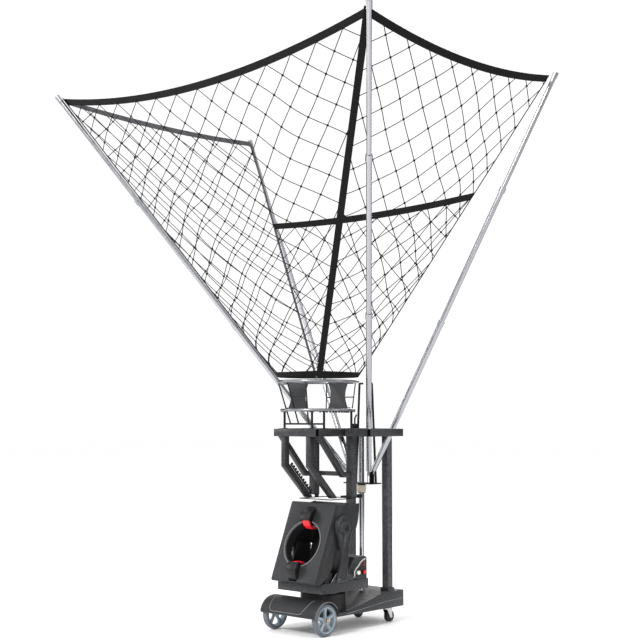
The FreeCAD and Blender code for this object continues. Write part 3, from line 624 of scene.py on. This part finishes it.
def pillow(name, outline, low, high, edge, steps=4):
    """A slab of an (along, up) outline, thick along X, whose two rims are rounded."""
    rows = []
    for at, sign in ((low, 1), (high, -1)):
        arc = [(at + sign * edge * (1 - math.cos(turn)), -edge * (1 - math.sin(turn)))
               for turn in (math.pi / 2 * i / steps for i in range(steps + 1))]
        rows += arc if sign > 0 else arc[::-1]
    vertices, count = [], len(outline)
    for across, inset in rows:
        vertices += [(across, *place) for place in grown(outline, inset)]
    return outward(mesh_object(name, vertices, lids(vertices, count) + stitched(len(rows), count)))


# ------------------------------------------------------------------------ the head
UPPER, LOWER = middle("throwing_wheel_upper"), middle("throwing_wheel_lower")
UP_FACE = (UPPER - LOWER).normalized()            # along the leaning face, upwards
OUT_FACE = Vector((0, -UP_FACE.z, UP_FACE.y))     # square out of the face
THROW_RADIUS = (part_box("throwing_wheel_upper")[1].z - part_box("throwing_wheel_upper")[0].z) / 2
EXIT = (UPPER + LOWER) / 2 + OUT_FACE * 0.030     # centre of the exit hole, on the face
EXIT_RADIUS = 0.150
HEAD_HALF, HEAD_WALL = 0.200, 0.004
FACE_SHELL = 0.046                                # depth of the front cover behind the face


def on_face(along, out, across=0.0):
    """A place counted from the exit's centre: up along the leaning face, out of it and across it."""
    return EXIT + UP_FACE * along + OUT_FACE * out + X * across


def face_slab(name, half, out, along):
    """A block square to the face; out and along are (low, high) from the exit's centre."""
    (bottom, top), (back, front) = along, out
    places = [on_face(*spot) for spot in ((bottom, back), (top, back), (top, front), (bottom, front))]
    return prism(name, [(p.y, p.z) for p in places], -half, half)


def head_outline():
    """The casing seen from its side, as (along, up, corner radius)."""
    y = RING.y
    return flowing([
        (y - 0.247, 0.325, 0.014), (y - 0.043, 0.836, 0.014), (y + 0.045, 0.802, 0.030),
        (y + 0.199, 0.830, 0.014), (y + 0.180, 0.690, 0.20), (y + 0.098, 0.540, 0.05),
        (y - 0.047, 0.527, 0.03), (y - 0.066, 0.430, 0.12), (y - 0.120, 0.362, 0.12),
        (y - 0.187, 0.319, 0.05),
    ], 7)


def head_shell(name):
    """The whole hollow casing with rounded outer edges, before it is parted."""
    outline = head_outline()
    shell = pillow(name, outline, -HEAD_HALF, HEAD_HALF, 0.009)
    inner = prism("inner", grown(outline, -HEAD_WALL), HEAD_WALL - HEAD_HALF, HEAD_HALF - HEAD_WALL)
    y, wide = RING.y, HEAD_HALF - HEAD_WALL
    mouth = prism("mouth", [(y - 0.026, 0.9), (y - 0.026, 0.815), (y + 0.045, 0.770), (y + 0.194, 0.800),
                            (y + 0.194, 0.9)], -wide, wide)
    below = prism("below", [
        (y + 0.096, 0.500), (y + 0.096, 0.548), (y - 0.052, 0.536), (y - 0.072, 0.432),
        (y - 0.124, 0.366), (y - 0.180, 0.330), (y - 0.170, 0.300), (y, 0.300),
    ], -wide, wide)
    return boolean(shell, "DIFFERENCE", inner, mouth, below)


def wheel_slots(half, out, low, high):
    """Cutters for the two places where the throwing wheels stand across the exit's edge."""
    return [face_slab("slot", half, out, sorted((sign * low, sign * high))) for sign in (1, -1)]


def head():
    """The two covers, parted just behind the face, and all that stands on or in them."""
    kept = face_slab("keep", 0.3, (-FACE_SHELL, 0.05), (-0.6, 0.6))
    front = boolean(head_shell("head_face"), "INTERSECT", kept)
    hole = drill(EXIT_RADIUS, -0.06, 0.06, EXIT, OUT_FACE)
    front = boolean(front, "DIFFERENCE", hole, *wheel_slots(0.036, (-0.04, 0.04), 0.100, 0.250))
    finish(bevel(front, 0.0012, 2, 50), "head", "charcoal_plastic", replaced=("head_front_cover",))
    parted = face_slab("cut", 0.3, (-FACE_SHELL, 0.1), (-0.7, 0.7))
    rear = boolean(head_shell("head_back"), "DIFFERENCE", parted)
    finish(bevel(rear, 0.0012, 2, 50), "head", "charcoal_plastic", replaced=("head_rear_cover",))
    parting_line()
    exit_rim()
    for label, centre in (("upper", UPPER), ("lower", LOWER)):
        hood(label, centre)
        throwing_wheel(label, centre)
    throat()


def parting_line():
    """A thin raised bead on each side where the two covers meet."""
    shapes = []
    for across in (0.0006 - HEAD_HALF, HEAD_HALF - 0.0006):
        way = [on_face(along, -FACE_SHELL, across) for along in (-0.20, 0.0, 0.20, 0.258)]
        shapes.append(tube(way, 0.0016, 8))
    finish(joined("head_parting_beads", shapes), "head", "black_plastic")


def exit_rim():
    """The hole's rounded lip, with a groove behind it, in a lighter grey painted as a highlight."""
    profile = [(-0.0005, -0.012), (-0.0005, 0.001)]
    profile += [(0.004 - 0.0045 * math.cos(turn), 0.001 + 0.0035 * math.sin(turn))
                for turn in (math.pi * i / 8 for i in range(1, 8))]
    profile += [(0.0085, 0.0005), (0.0085, -0.0005), (0.003, -0.012)]
    rim = revolve("exit_rim", [(EXIT_RADIUS + grow, out) for grow, out in profile], EXIT, OUT_FACE, 128)
    rim = boolean(rim, "DIFFERENCE", *wheel_slots(0.0425, (-0.05, 0.05), 0.110, 0.170))
    finish(rim, "head", "charcoal_plastic", PAINTED_HIGHLIGHT_GREY)


def hood(label, centre):
    """A glossy belt-like cap over a throwing wheel, with a recessed disc on each side."""
    outer, half = THROW_RADIUS + 0.017, 0.042
    inner, wall, lid = outer - 0.022, outer - 0.004, half - 0.005
    skin = [(0, lid), (inner, lid), (inner, half), (outer - 0.005, half), (outer - 0.0015, half - 0.0015),
            (outer, half - 0.005)]
    lining = [(0, 0.003 - lid), (wall, 0.003 - lid), (wall, lid - 0.003), (0, lid - 0.003)]
    cap = revolve(f"{label}_hood", mirrored(skin) + lining, centre, X, 96)
    behind = face_slab("behind", 0.1, (-0.4, 0.0006), (-0.45, 0.45))
    overhang = 0.016 if label == "lower" else 0.0
    cap = boolean(cap, "DIFFERENCE", behind, drill(EXIT_RADIUS - overhang, -0.2, 0.2, EXIT, OUT_FACE))
    replaced = ("wheel_guards",) if label == "upper" else ()
    finish(bevel(cap, 0.0008, 2, 45), "head", "black_plastic", replaced=replaced)


def throwing_wheel(label, centre):
    """A red tyre with a shallow groove in its tread, on a turned metal hub."""
    half, hub, body = 0.030, THROW_RADIUS - 0.014, f"{label}_thrower"
    tread = [(-0.004, half), (-0.001, half - 0.003), (0.0, half - 0.008), (0.0, 0.004), (-0.0015, 0.0025)]
    tyre = [(hub, -half), (hub, half)] + mirrored([(THROW_RADIUS + rise, along) for rise, along in tread])
    turned(f"{label}_throwing_tyre", tyre, centre, X, 72, body, "red_urethane",
           replaced=(f"throwing_wheel_{label}",))
    core = [(0.00605, half), (0.017, half), (0.018, half - 0.001), (0.018, 0.011), (0.040, 0.010),
            (0.043, 0.022), (hub, 0.024)]
    turned(f"{label}_throwing_hub", mirrored(core), centre, X, 48, body, "red_urethane",
           MATERIALS["aluminium"])


def throat():
    """Dark side cheeks that guide the ball out; they leave room for the wheels."""
    inner, outer = EXIT_RADIUS + 0.001, EXIT_RADIUS + 0.004
    ring = revolve("exit_cheeks", [(inner, -0.075), (inner, -0.005), (outer, -0.005), (outer, -0.075)],
                   EXIT, OUT_FACE, 96)
    finish(boolean(ring, "DIFFERENCE", *wheel_slots(0.055, (-0.2, 0.1), 0.09, 0.2)), "head", "dark_steel")


# ----------------------------------------------------------------------- the yokes
TILT = middle("tilt_hubs")


def yokes():
    """Waisted arms with a raised rim round a sunken field, bowed outwards as they rise."""
    foot_z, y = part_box("yokes")[0].z, TILT.y
    for side, sign in SIDES:
        waist = [(y - 0.057, foot_z, 0.004), (y - 0.034, foot_z + 0.110, 0.30),
                 (y - 0.032, foot_z + 0.190, 0.20)]
        head_arc = [(y + 0.08 * math.cos(turn), TILT.z + 0.08 * math.sin(turn), 0)
                    for turn in (math.radians(214 - 248 * i / 28) for i in range(29))]
        other_side = [(2 * y - along, up, radius) for along, up, radius in reversed(waist)]
        outline = flowing(waist + head_arc + other_side, 6)
        arm = prism(f"yoke_{side}", outline, 0.0, 0.018)
        panel_face(arm, 0.0065, -0.0022)
        for vertex in arm.data.vertices:
            rise = min(1.0, max(0.0, (vertex.co.z - foot_z) / 0.155))
            out = HEAD_HALF - 0.018 + 0.025 * rise * rise * (3 - 2 * rise)
            vertex.co.x = sign * (out + vertex.co.x)
        arm = boolean(arm, "DIFFERENCE", drill(0.0142, 0.15, 0.3, (0, TILT.y, TILT.z), X * sign, 32))
        finish(bevel(arm, 0.0014, 2, 28), "turntable", "charcoal_plastic",
               replaced=("yokes",) if sign > 0 else ())


def panel_face(thing, inset, depth):
    """Sink the field of the +X face, leaving a rim."""
    work = bmesh.new()
    work.from_mesh(thing.data)
    bmesh.ops.recalc_face_normals(work, faces=work.faces)
    top = [face for face in work.faces if face.normal.x > 0.9]
    bmesh.ops.inset_region(work, faces=top, thickness=inset, depth=0.0, use_even_offset=True)
    bmesh.ops.inset_region(work, faces=[f for f in top if f.is_valid], thickness=0.0025, depth=depth)
    work.to_mesh(thing.data)
    work.free()


def tilt_knobs():
    """A ring with a sunken middle and a round knob in it, on the outside of each hub."""
    ring = [(0.030, -0.012), (0.030, 0.001), (0.034, 0.0035), (0.041, 0.0035), (0.045, 0.0), (0.046, -0.012)]
    knob = [(0.0, -0.010), (0.0, 0.002), (0.010, 0.002), (0.014, 0.003), (0.018, 0.001), (0.021, -0.003),
            (0.022, -0.010)]
    for side, sign in SIDES:
        place = (sign * (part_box("tilt_hubs")[1].x - 0.004), TILT.y, TILT.z)
        turned(f"tilt_ring_{side}", ring, place, X * sign, 64, "head", "charcoal_plastic")
        turned(f"tilt_knob_{side}", knob, place, X * sign, 40, "head", "charcoal_plastic",
               MATERIALS["dark_steel"])


# ---------------------------------------------------------------------- front wheels
def front_wheels():
    """A round-shouldered tyre on a stepped rim, with spokes."""
    for side, out in SIDES:
        centre, (low, high) = middle(f"front_tyre_{side}"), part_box(f"front_tyre_{side}")
        radius, half = (high.z - low.z) / 2, (high.x - low.x) / 2
        rim, body = radius - 0.020, f"front_wheel_{side}"
        section = [(rim, -half + 0.004), (rim, half - 0.004)]
        section += [(radius - 0.013 + 0.013 * math.sin(turn), half * math.cos(turn))
                    for turn in (math.pi * i / 16 for i in range(17))]
        turned(f"front_tyre_tread_{side}", section, centre, X, 96, body, "tyre_grey",
               replaced=(f"front_tyre_{side}",))
        lip = [(rim - 0.0095, half - 0.006), (rim - 0.006, half - 0.003), (rim - 0.001, half - 0.001),
               (rim, half - 0.003)]
        turned(f"front_rim_{side}", mirrored(lip), centre, X, 96, body, "hub_grey",
               replaced=(f"front_hub_{side}",))
        spokes(side, centre, rim, half, body, out)


def spokes(side, centre, rim, half, body, out):
    """Five tapered spokes that dish inwards from a stepped boss, and the axle bolt's cap."""
    vertices, faces = [], []
    reach, depth, flare = rim - 0.008, 0.016, 1.25
    for i in range(5):
        turn = 2 * math.pi * i / 5 + math.pi / 2
        way = Vector((0, math.cos(turn), math.sin(turn)))
        side_way = X.cross(way)
        start = len(vertices)
        for along, width, face in ((0.017, 0.0085, half - 0.008), (0.040, 0.0075, half - 0.012),
                                   (reach, 0.0115, half - 0.009), (reach + 0.002, 0.0120, half - 0.009)):
            back, wide = face - depth, width * flare
            for a, b in ((-width, face), (width, face), (wide, back), (-wide, back)):
                vertices.append(centre + way * along + side_way * a + X * out * b)
        faces += stitched(4, 4, start)
        faces += [tuple(start + j for j in (3, 2, 1, 0)), tuple(start + 12 + j for j in range(4))]
    web = mesh_object(f"front_spokes_{side}", vertices, faces)
    finish(bevel(web, 0.0022, 3, 40), body, "hub_grey")
    boss = [(0.0081, -half), (0.0081, half - 0.002), (0.014, half - 0.002), (0.016, half - 0.004),
            (0.0165, half - 0.010), (0.021, half - 0.012), (0.023, half - 0.015), (0.023, -half + 0.002),
            (0.021, -half)]
    turned(f"front_boss_{side}", boss, centre, X * out, 40, body, "hub_grey")
    cap = [(0, 0), (0, 0.0045), (0.004, 0.0045), (0.0075, 0.0035), (0.0095, 0.001), (0.0095, 0)]
    turned(f"axle_cap_{side}", cap, centre + X * out * (half + 0.0080), X * out, 6, "chassis", "steel",
           MATERIALS["brass"])


# -------------------------------------------------------------------- front housing
AXLE = middle("front_axle")


def front_housing():
    """A half-round cover with rounded ends, arches over the wheels and a raised U-shaped lip."""
    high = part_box("front_housing")[1]
    half, y, lip_z = high.x, AXLE.y, 0.122
    radius = high.z - AXLE.z
    centre = (0, AXLE.y, AXLE.z)
    drum = revolve("front_cover", rounded(0.0, radius, -half, half, 0.020, 6), centre, X, 120)
    hollow = drill(radius - 0.005, -0.188, 0.188, centre, X, 96)
    bays = [drill(radius - 0.009, at, at + 0.07, centre, X, 96) for at in (0.192, -0.262)]
    below = block("below", (-0.4, y - 0.3, -0.3), (0.4, y + 0.3, 0.101))
    lip = block("lip", (-0.4, y - 0.3, -0.3), (0.4, y - 0.05, lip_z))
    tails = [block("tail", (left, y + 0.05, -0.3), (right, y + 0.3, lip_z))
             for left, right in ((-0.3, -0.2), (0.2, 0.3))]
    behind = block("behind", (-0.4, high.y, -0.1), (0.4, high.y + 0.3, 0.4))
    pedestal = drill(0.1503, 0, 0.3, (0, middle("pan_shaft").y, 0.1067), Z, 96)
    floor_slot = block("slot", (-0.2, y + 0.0297, 0.09), (0.2, high.y + 0.05, 0.1053))
    drum = boolean(drum, "DIFFERENCE", hollow, *bays, below, lip, *tails, behind, pedestal, floor_slot)
    finish(bevel(drum, 0.0010, 2, 50), "chassis", "charcoal_plastic", replaced=("front_housing",))
    housing_lips(radius, half)


def on_drum(across, turn, radius):
    """A place round the front axle; the turn is counted from straight ahead, upwards."""
    return Vector((across, AXLE.y - radius * math.cos(turn), AXLE.z + radius * math.sin(turn)))


def housing_lips(radius, half):
    """The U-shaped lip on the front, and a bead round each wheel arch, both in a lighter grey painted as a
    highlight.
    """
    top, bottom = math.radians(78), math.radians(17)
    route = [(-0.175, top), (-0.172, math.radians(50)), (-0.165, math.radians(26)), (-0.150, bottom),
             (0.098, bottom), (0.122, math.radians(20)), (0.150, math.radians(44)), (0.162, top)]
    way = []
    for one, two in zip(route, route[1:]):
        between = [Vector(one).lerp(Vector(two), i / 10) for i in range(10)]
        way += [on_drum(*spot, radius - 0.0005) for spot in between]
    way.append(on_drum(*route[-1], radius - 0.0005))
    finish(joined("front_cover_lip", [tube(way, 0.0028, 10)]), "chassis", "charcoal_plastic", PAINTED_HIGHLIGHT_GREY)
    arches = []
    for across in (0.0012 - half, half - 0.0012):
        arch = [on_drum(across, math.radians(angle), radius - 0.0085) for angle in range(12, 148, 4)]
        arches.append(tube(arch, 0.0030, 10))
    finish(joined("wheel_arch_beads", arches), "chassis", "charcoal_plastic", PAINTED_HIGHLIGHT_GREY)


# --------------------------------------------------------------------- small pieces
def bead(name, way, radius, sides, body, slot, material=None):
    """A finished round bead along a line of points."""
    return finish(joined(name, [tube(way, radius, sides)]), body, slot, material)


def screw(name, place, axis, radius, body, material):
    """A flat screw head with a rounded edge and a sunken middle."""
    head = [(0, -0.001), (0, 0.0006), (radius * 0.35, 0.0006), (radius * 0.45, 0.0014),
            (radius * 0.8, 0.0014), (radius, 0.0004), (radius, -0.001)]
    turned(name, head, place, axis, 20, body, "steel", material)


def tray_details():
    """Side screws (one, two together, one) and gussets at the feet of the yokes, whose slanting edges carry a
    bead in a lighter grey painted as a highlight.
    """
    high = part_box("tray")[1]
    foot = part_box("yokes")[0].z
    for side, sign in SIDES:
        for i, along in enumerate((-0.095, -0.045, -0.027, 0.110)):
            place = (sign * (high.x - 0.0002), TILT.y + along, high.z - 0.045)
            screw(f"tray_screw_{side}_{i + 1}", place, X * sign, 0.0042, "turntable", MATERIALS["aluminium"])
        for end, at in (("front", -1), ("rear", 1)):
            corners = [(TILT.y + at * 0.058, foot), (TILT.y + at * 0.105, foot),
                       (TILT.y + at * 0.050, foot + 0.055)]
            gusset = prism(f"gusset_{side}_{end}", corners, *sorted((sign * 0.1905, sign * 0.1965)))
            finish(bevel(gusset, 0.0012, 2, 30), "turntable", "charcoal_steel")
            edge = [Vector((sign * 0.1935, *corners[1])), Vector((sign * 0.1935, *corners[2]))]
            bead(f"gusset_bead_{side}_{end}", edge, 0.0030, 10, "turntable", "charcoal_steel", PAINTED_HIGHLIGHT_GREY)


def control_details():
    """White double trim round the panel and a ribbed quarter-round in front of it."""
    low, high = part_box("control_box")
    face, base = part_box("control_panel")[1].x, low.z
    route = [(0.152, 0.016), (0.150, 0.050), (0.164, 0.066), (0.188, 0.084), (0.212, 0.108),
             (0.236, 0.121), (0.262, 0.128)]
    for i, shift in enumerate((0.0, -0.0065)):
        way = [Vector((face + 0.0006, RING.y + a + shift * 0.7, base + b - shift * 0.7)) for a, b in route]
        bead(f"panel_trim_{i + 1}", way, 0.0015, 8, "turntable", "white_plastic")
    quarter = Vector((high.x - 0.001, RING.y + 0.178, base + 0.030))
    for i in range(5):
        radius = 0.040 + 0.010 * i
        turns = [math.radians(8 + 6 * step) for step in range(13)]
        way = [quarter - Y * radius * math.cos(turn) + Z * radius * math.sin(turn) for turn in turns]
        bead(f"control_rib_{i + 1}", way, 0.0036, 8, "turntable", "black_plastic")


def base_details():
    """Beads along the base's shoulders and sides, in a lighter grey painted as highlight lines."""
    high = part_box("base_cover")[1]
    rear, top = high.y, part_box("columns")[0].z
    shoulder = [(RING.y + 0.075, 0.132), (rear - 0.212, top - 0.004), (rear - 0.203, top + 0.0005),
                (rear - 0.012, top + 0.0005)]
    flank = [(RING.y + 0.06, 0.114), (rear - 0.20, 0.150), (rear - 0.01, 0.158)]
    for side, sign in SIDES:
        for name, route, inset, radius in (("shoulder", shoulder, 0.016, 0.0024),
                                           ("flank", flank, 0.0004, 0.0022)):
            way = [Vector((sign * (high.x - inset), *place)) for place in route]
            bead(f"base_{name}_{side}", way, radius, 8, "chassis", "charcoal_plastic", PAINTED_HIGHLIGHT_GREY)


def ring_teeth():
    """A toothed rubber strip under the near right part of the lower ring."""
    ring = middle("lower_ring")
    radius = (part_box("lower_ring")[1].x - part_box("lower_ring")[0].x) / 2 - 0.009
    shapes = []
    for step in range(22):
        turn = math.radians(-46 + 2.6 * step)
        out = Vector((math.cos(turn), math.sin(turn), 0))
        along = Z.cross(out)
        place, deep = ring + out * radius - Z * 0.0085, 0.011 if step % 2 else 0.004
        half = radius * math.radians(1.3)
        corners = [place + out * a * 0.004 + along * b * half - Z * c for c in (0, deep) for a, b in SQUARE]
        shapes.append((corners, lids(corners, 4) + stitched(2, 4), [(0, 0)] * 8))
    finish(joined("ring_teeth", shapes), "chassis", "black_rubber")


def carriage_details():
    """A cream sleeve with a lip and four brass bolts round the carriage's collar."""
    low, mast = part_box("carriage")[0], middle("mast")
    inner = (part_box("mast")[1].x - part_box("mast")[0].x) / 2 + 0.0081
    outer = inner + 0.003
    sleeve = [(inner, 0.0), (inner, 0.050), (outer + 0.006, 0.050), (outer + 0.007, 0.049),
              (outer + 0.007, 0.046), (outer + 0.006, 0.045), (outer, 0.045), (outer, 0.001),
              (outer - 0.001, 0.0)]
    turned("carriage_sleeve", sleeve, (0, mast.y, low.z + 0.004), Z, 40, "carriage", "steel",
           moulded("cast_cream", (0.50, 0.46, 0.37), 0.45, edge_highlight=1.3))
    for i in range(4):
        turn = math.radians(45 + 90 * i)
        way = Vector((math.cos(turn), math.sin(turn), 0))
        place = Vector((0, mast.y, low.z + 0.026)) + way * (outer - 0.0005)
        screw(f"sleeve_bolt_{i + 1}", place, way, 0.0045, "carriage", MATERIALS["brass"])


# ------------------------------------------------------------------------ the net
SEAM_LOW, SEAM_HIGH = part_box("net_seams")
TOP_X, TOP_Z = SEAM_HIGH.x - 0.005, SEAM_HIGH.z - 0.003
FRONT_Y, REAR_Y = SEAM_LOW.y + 0.005, SEAM_HIGH.y - 0.005
RING_RADIUS = (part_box("upper_ring")[1].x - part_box("upper_ring")[0].x) / 2 - 0.009
FOOT_HALF, FOOT_Z = RING_RADIUS / math.sqrt(2), SEAM_LOW.z + 0.003
REAR_SHARE = 0.62                                 # how far up the rear panel reaches
CELL = 0.2                                        # a diamond's width; its height is the same
CORD = 5.4 * MM


class Panel:
    """One side of the net: from its foot edge to its top edge, left to right seen from outside."""

    def __init__(self, name, body, foot, top, outward, dip, belly, share=1.0):
        self.name, self.body, self.dip, self.belly = name, body, dip, belly
        self.foot, self.top = [Vector(p) for p in foot], [Vector(p) for p in top]
        self.top = [low.lerp(high, share) for low, high in zip(self.foot, self.top)]
        self.across = (self.foot[1] - self.foot[0]).normalized()
        rise = (self.top[0] - self.foot[0]) - self.across * (self.top[0] - self.foot[0]).dot(self.across)
        self.slant = rise.length
        self.outward = Vector(outward)
        base = self.foot[0].dot(self.across)
        sides = zip(self.foot, self.top)
        self.ends = [tuple(place.dot(self.across) - base for place in side) for side in sides]
        self.width = self.ends[1][0]
        self.phase = random.uniform(0, 6)

    def edge(self, side, height):
        low, high = self.ends[side]
        return low + (high - low) * height / self.slant

    def point(self, u, v):
        """The place at a share u across and v up, with the top edge's dip and the panel's belly."""
        place = self.foot[0].lerp(self.foot[1], u).lerp(self.top[0].lerp(self.top[1], u), v)
        crown = 4 * u * (1 - u)
        place = place - Z * self.dip * crown * v ** 1.6
        bow = math.sqrt(RING_RADIUS ** 2 - ((2 * u - 1) * FOOT_HALF) ** 2) - FOOT_HALF
        place = place + self.outward * bow * (1 - v) ** 4
        swell = self.belly * crown * math.sin(math.pi * min(v, 1.0)) ** 0.8
        return place + (self.outward * 0.6 - Z * 0.4) * swell

    def strand_point(self, along, height):
        """The place of a cord, pulled a little out of its straight line."""
        left, right = self.edge(0, height), self.edge(1, height)
        u, v = (along - left) / (right - left), height / self.slant
        hold = min(1.0, 5 * u * (1 - u)) * min(1.0, 6 * v * (1 - v))
        sway = math.sin(5.1 * along + 3.3 * height + self.phase)
        sway += 0.6 * math.sin(9.7 * along - 6.1 * height)
        lift = math.sin(4.3 * along - 5.7 * height + 2 * self.phase)
        lift += 0.6 * math.sin(8.3 * along + 7.9 * height)
        u = min(1.0, max(0.0, u + hold * 0.013 * sway / (right - left)))
        return self.point(u, min(1.0, max(0.0, v + hold * 0.012 * lift / self.slant)))

    def strands(self):
        """Diagonal cords both ways, cut off by the panel's two seams."""
        reach = self.slant + abs(self.ends[0][1]) + self.ends[1][1]
        for slope in (1, -1):
            count = int(reach / CELL) + 2
            for step in range(-count, count + 1):
                start = self.width / 2 + (step + 0.5) * CELL
                low, high = 0.0, self.slant
                for side, sign in ((0, 1), (1, -1)):
                    foot, top = self.ends[side]
                    lead, rate = sign * (start - foot), sign * (slope - (top - foot) / self.slant)
                    if abs(rate) < 1e-9:
                        continue
                    crossing = -lead / rate
                    low, high = (max(low, crossing), high) if rate > 0 else (low, min(high, crossing))
                if high - low > 0.02:
                    yield start, slope, low, high

    def cords(self):
        shapes = []
        for start, slope, low, high in self.strands():
            count = max(2, int((high - low) / 0.028))
            heights = [low + (high - low) * i / count for i in range(count + 1)]
            shapes.append(tube([self.strand_point(start + slope * h, h) for h in heights], CORD / 2, 6))
        return shapes

    def knots(self):
        """A small knot wherever two cords cross."""
        rising = [s for s in self.strands() if s[1] > 0]
        falling = [s for s in self.strands() if s[1] < 0]
        shapes = []
        for one, _, low, high in rising:
            for two, _, other_low, other_high in falling:
                height = (two - one) / 2
                if max(low, other_low) + 0.01 < height < min(high, other_high) - 0.01:
                    shapes.append(knot(self.strand_point(one + height, height), self.across))
        return shapes

    def strap(self, low, high, thickness, count=40):
        """Webbing between two levels of the panel, given as shares of its height."""
        rows = [(self.point(i / count, high), self.point(i / count, low)) for i in range(count + 1)]
        return ribbon(rows, thickness)


def knot(centre, across):
    """A cord's knot: a short fat ring-shaped lump."""
    radii = ((0.0, -1.0), (0.75, -0.62), (1.0, 0.0), (0.75, 0.62), (0.0, 1.0))
    side, up = basis(across)
    size = 1.5 * CORD
    vertices, strip = [], []
    for radius, along in radii:
        for j in range(6):
            turn = math.pi * j / 3
            round_it = side * math.cos(turn) + up * math.sin(turn)
            vertices.append(centre + (across * along + round_it * radius) * size)
            strip.append((along * size, j / 6))
    return vertices, stitched(len(radii), 6), strip


def corner(x_sign, y, level):
    """A corner of the net's foot (level 0) or top (level 1)."""
    if level:
        return Vector((x_sign * TOP_X, y, TOP_Z))
    return Vector((x_sign * FOOT_HALF, RING.y + math.copysign(FOOT_HALF, y - RING.y), FOOT_Z))


def panels():
    """The four sides: corners, outward way, dip of the top edge, belly and the share of the full height."""
    sides = (
        ("front", -1, FRONT_Y, 1, FRONT_Y, (0, -1, 0), 0.15, 0.11, 1.0),
        ("right", 1, FRONT_Y, 1, REAR_Y, (1, 0, 0), 0.085, 0.09, 1.0),
        ("rear", 1, REAR_Y, -1, REAR_Y, (0, 1, 0), 0.03, 0.05, REAR_SHARE),
        ("left", -1, REAR_Y, -1, FRONT_Y, (-1, 0, 0), 0.03, 0.07, 1.0),
    )
    for name, x_a, y_a, x_b, y_b, outward, dip, belly, share in sides:
        foot, top = [[corner(x_a, y_a, level), corner(x_b, y_b, level)] for level in (0, 1)]
        yield Panel(name, f"{name}_panel", foot, top, outward, dip, belly, share)


# for each panel: along which way, towards what, and to what share it would narrow as the carriage goes down;
# nothing here narrows it
FOLD = {
    "front": (X, Vector((0, 0, 0)), 0.48), "rear": (X, Vector((0, 0, 0)), 0.47),
    "left": (Y, RING, 0.44), "right": (Y, RING, 0.44),
}


def net():
    """Cords and knots, a top band and a foot band on each of the four panels, and the corner straps."""
    for panel in panels():
        name, top, foot = f"net_{panel.name}", 0.048 / panel.slant, 0.036 / panel.slant
        cords = joined(f"{name}_cords", panel.cords() + panel.knots())
        top_band = joined(f"{name}_top_band", [panel.strap(1 - top, 1, 3 * MM)])
        foot_band = joined(f"{name}_foot_band", [panel.strap(0, foot, 3 * MM, 16)])
        finish(cords, panel.body, "net_cord", None, (name,), 70)
        finish(top_band, panel.body, "net_cord", GREY_WEBBING if panel.name == "left" else WEBBING)
        finish(foot_band, panel.body, "net_cord", WEBBING)
        axis, anchor, keep = FOLD[panel.name]
        for piece in (cords, top_band, foot_band):
            tuple(axis)
            tuple(anchor)
            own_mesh(piece)
    seams()


def seams():
    """The four corner straps; the front pair is broad."""
    for end, y, width in (("front", FRONT_Y, 0.042), ("rear", REAR_Y, 0.016)):
        for side, sign in SIDES:
            low, high = corner(sign, y, 0), corner(sign, y, 1)
            out = Vector((sign, math.copysign(1, y - RING.y), 0)).normalized()
            across = (high - low).cross(out).normalized() * width / 2
            share = 1.0 if end == "front" else 0.985
            line = [low.lerp(high, share * i / 30) for i in range(31)]
            rows = [(place - across, place + across) for place in line]
            piece = joined(f"net_seam_{end}_{side}", [ribbon(rows, 4 * MM)])
            finish(piece, "chassis", "net_cord", GREY_WEBBING if (end, side) == ("rear", "left") else WEBBING)
            tuple(low)
            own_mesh(piece)
    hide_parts("net_seams")


# --------------------------------------------------------------------------- build
camera()
studio()
rounded_nodes()
head()
yokes()
tilt_knobs()
front_wheels()
front_housing()
tray_details()
control_details()
base_details()
ring_teeth()
carriage_details()
bare_nodes()
net()
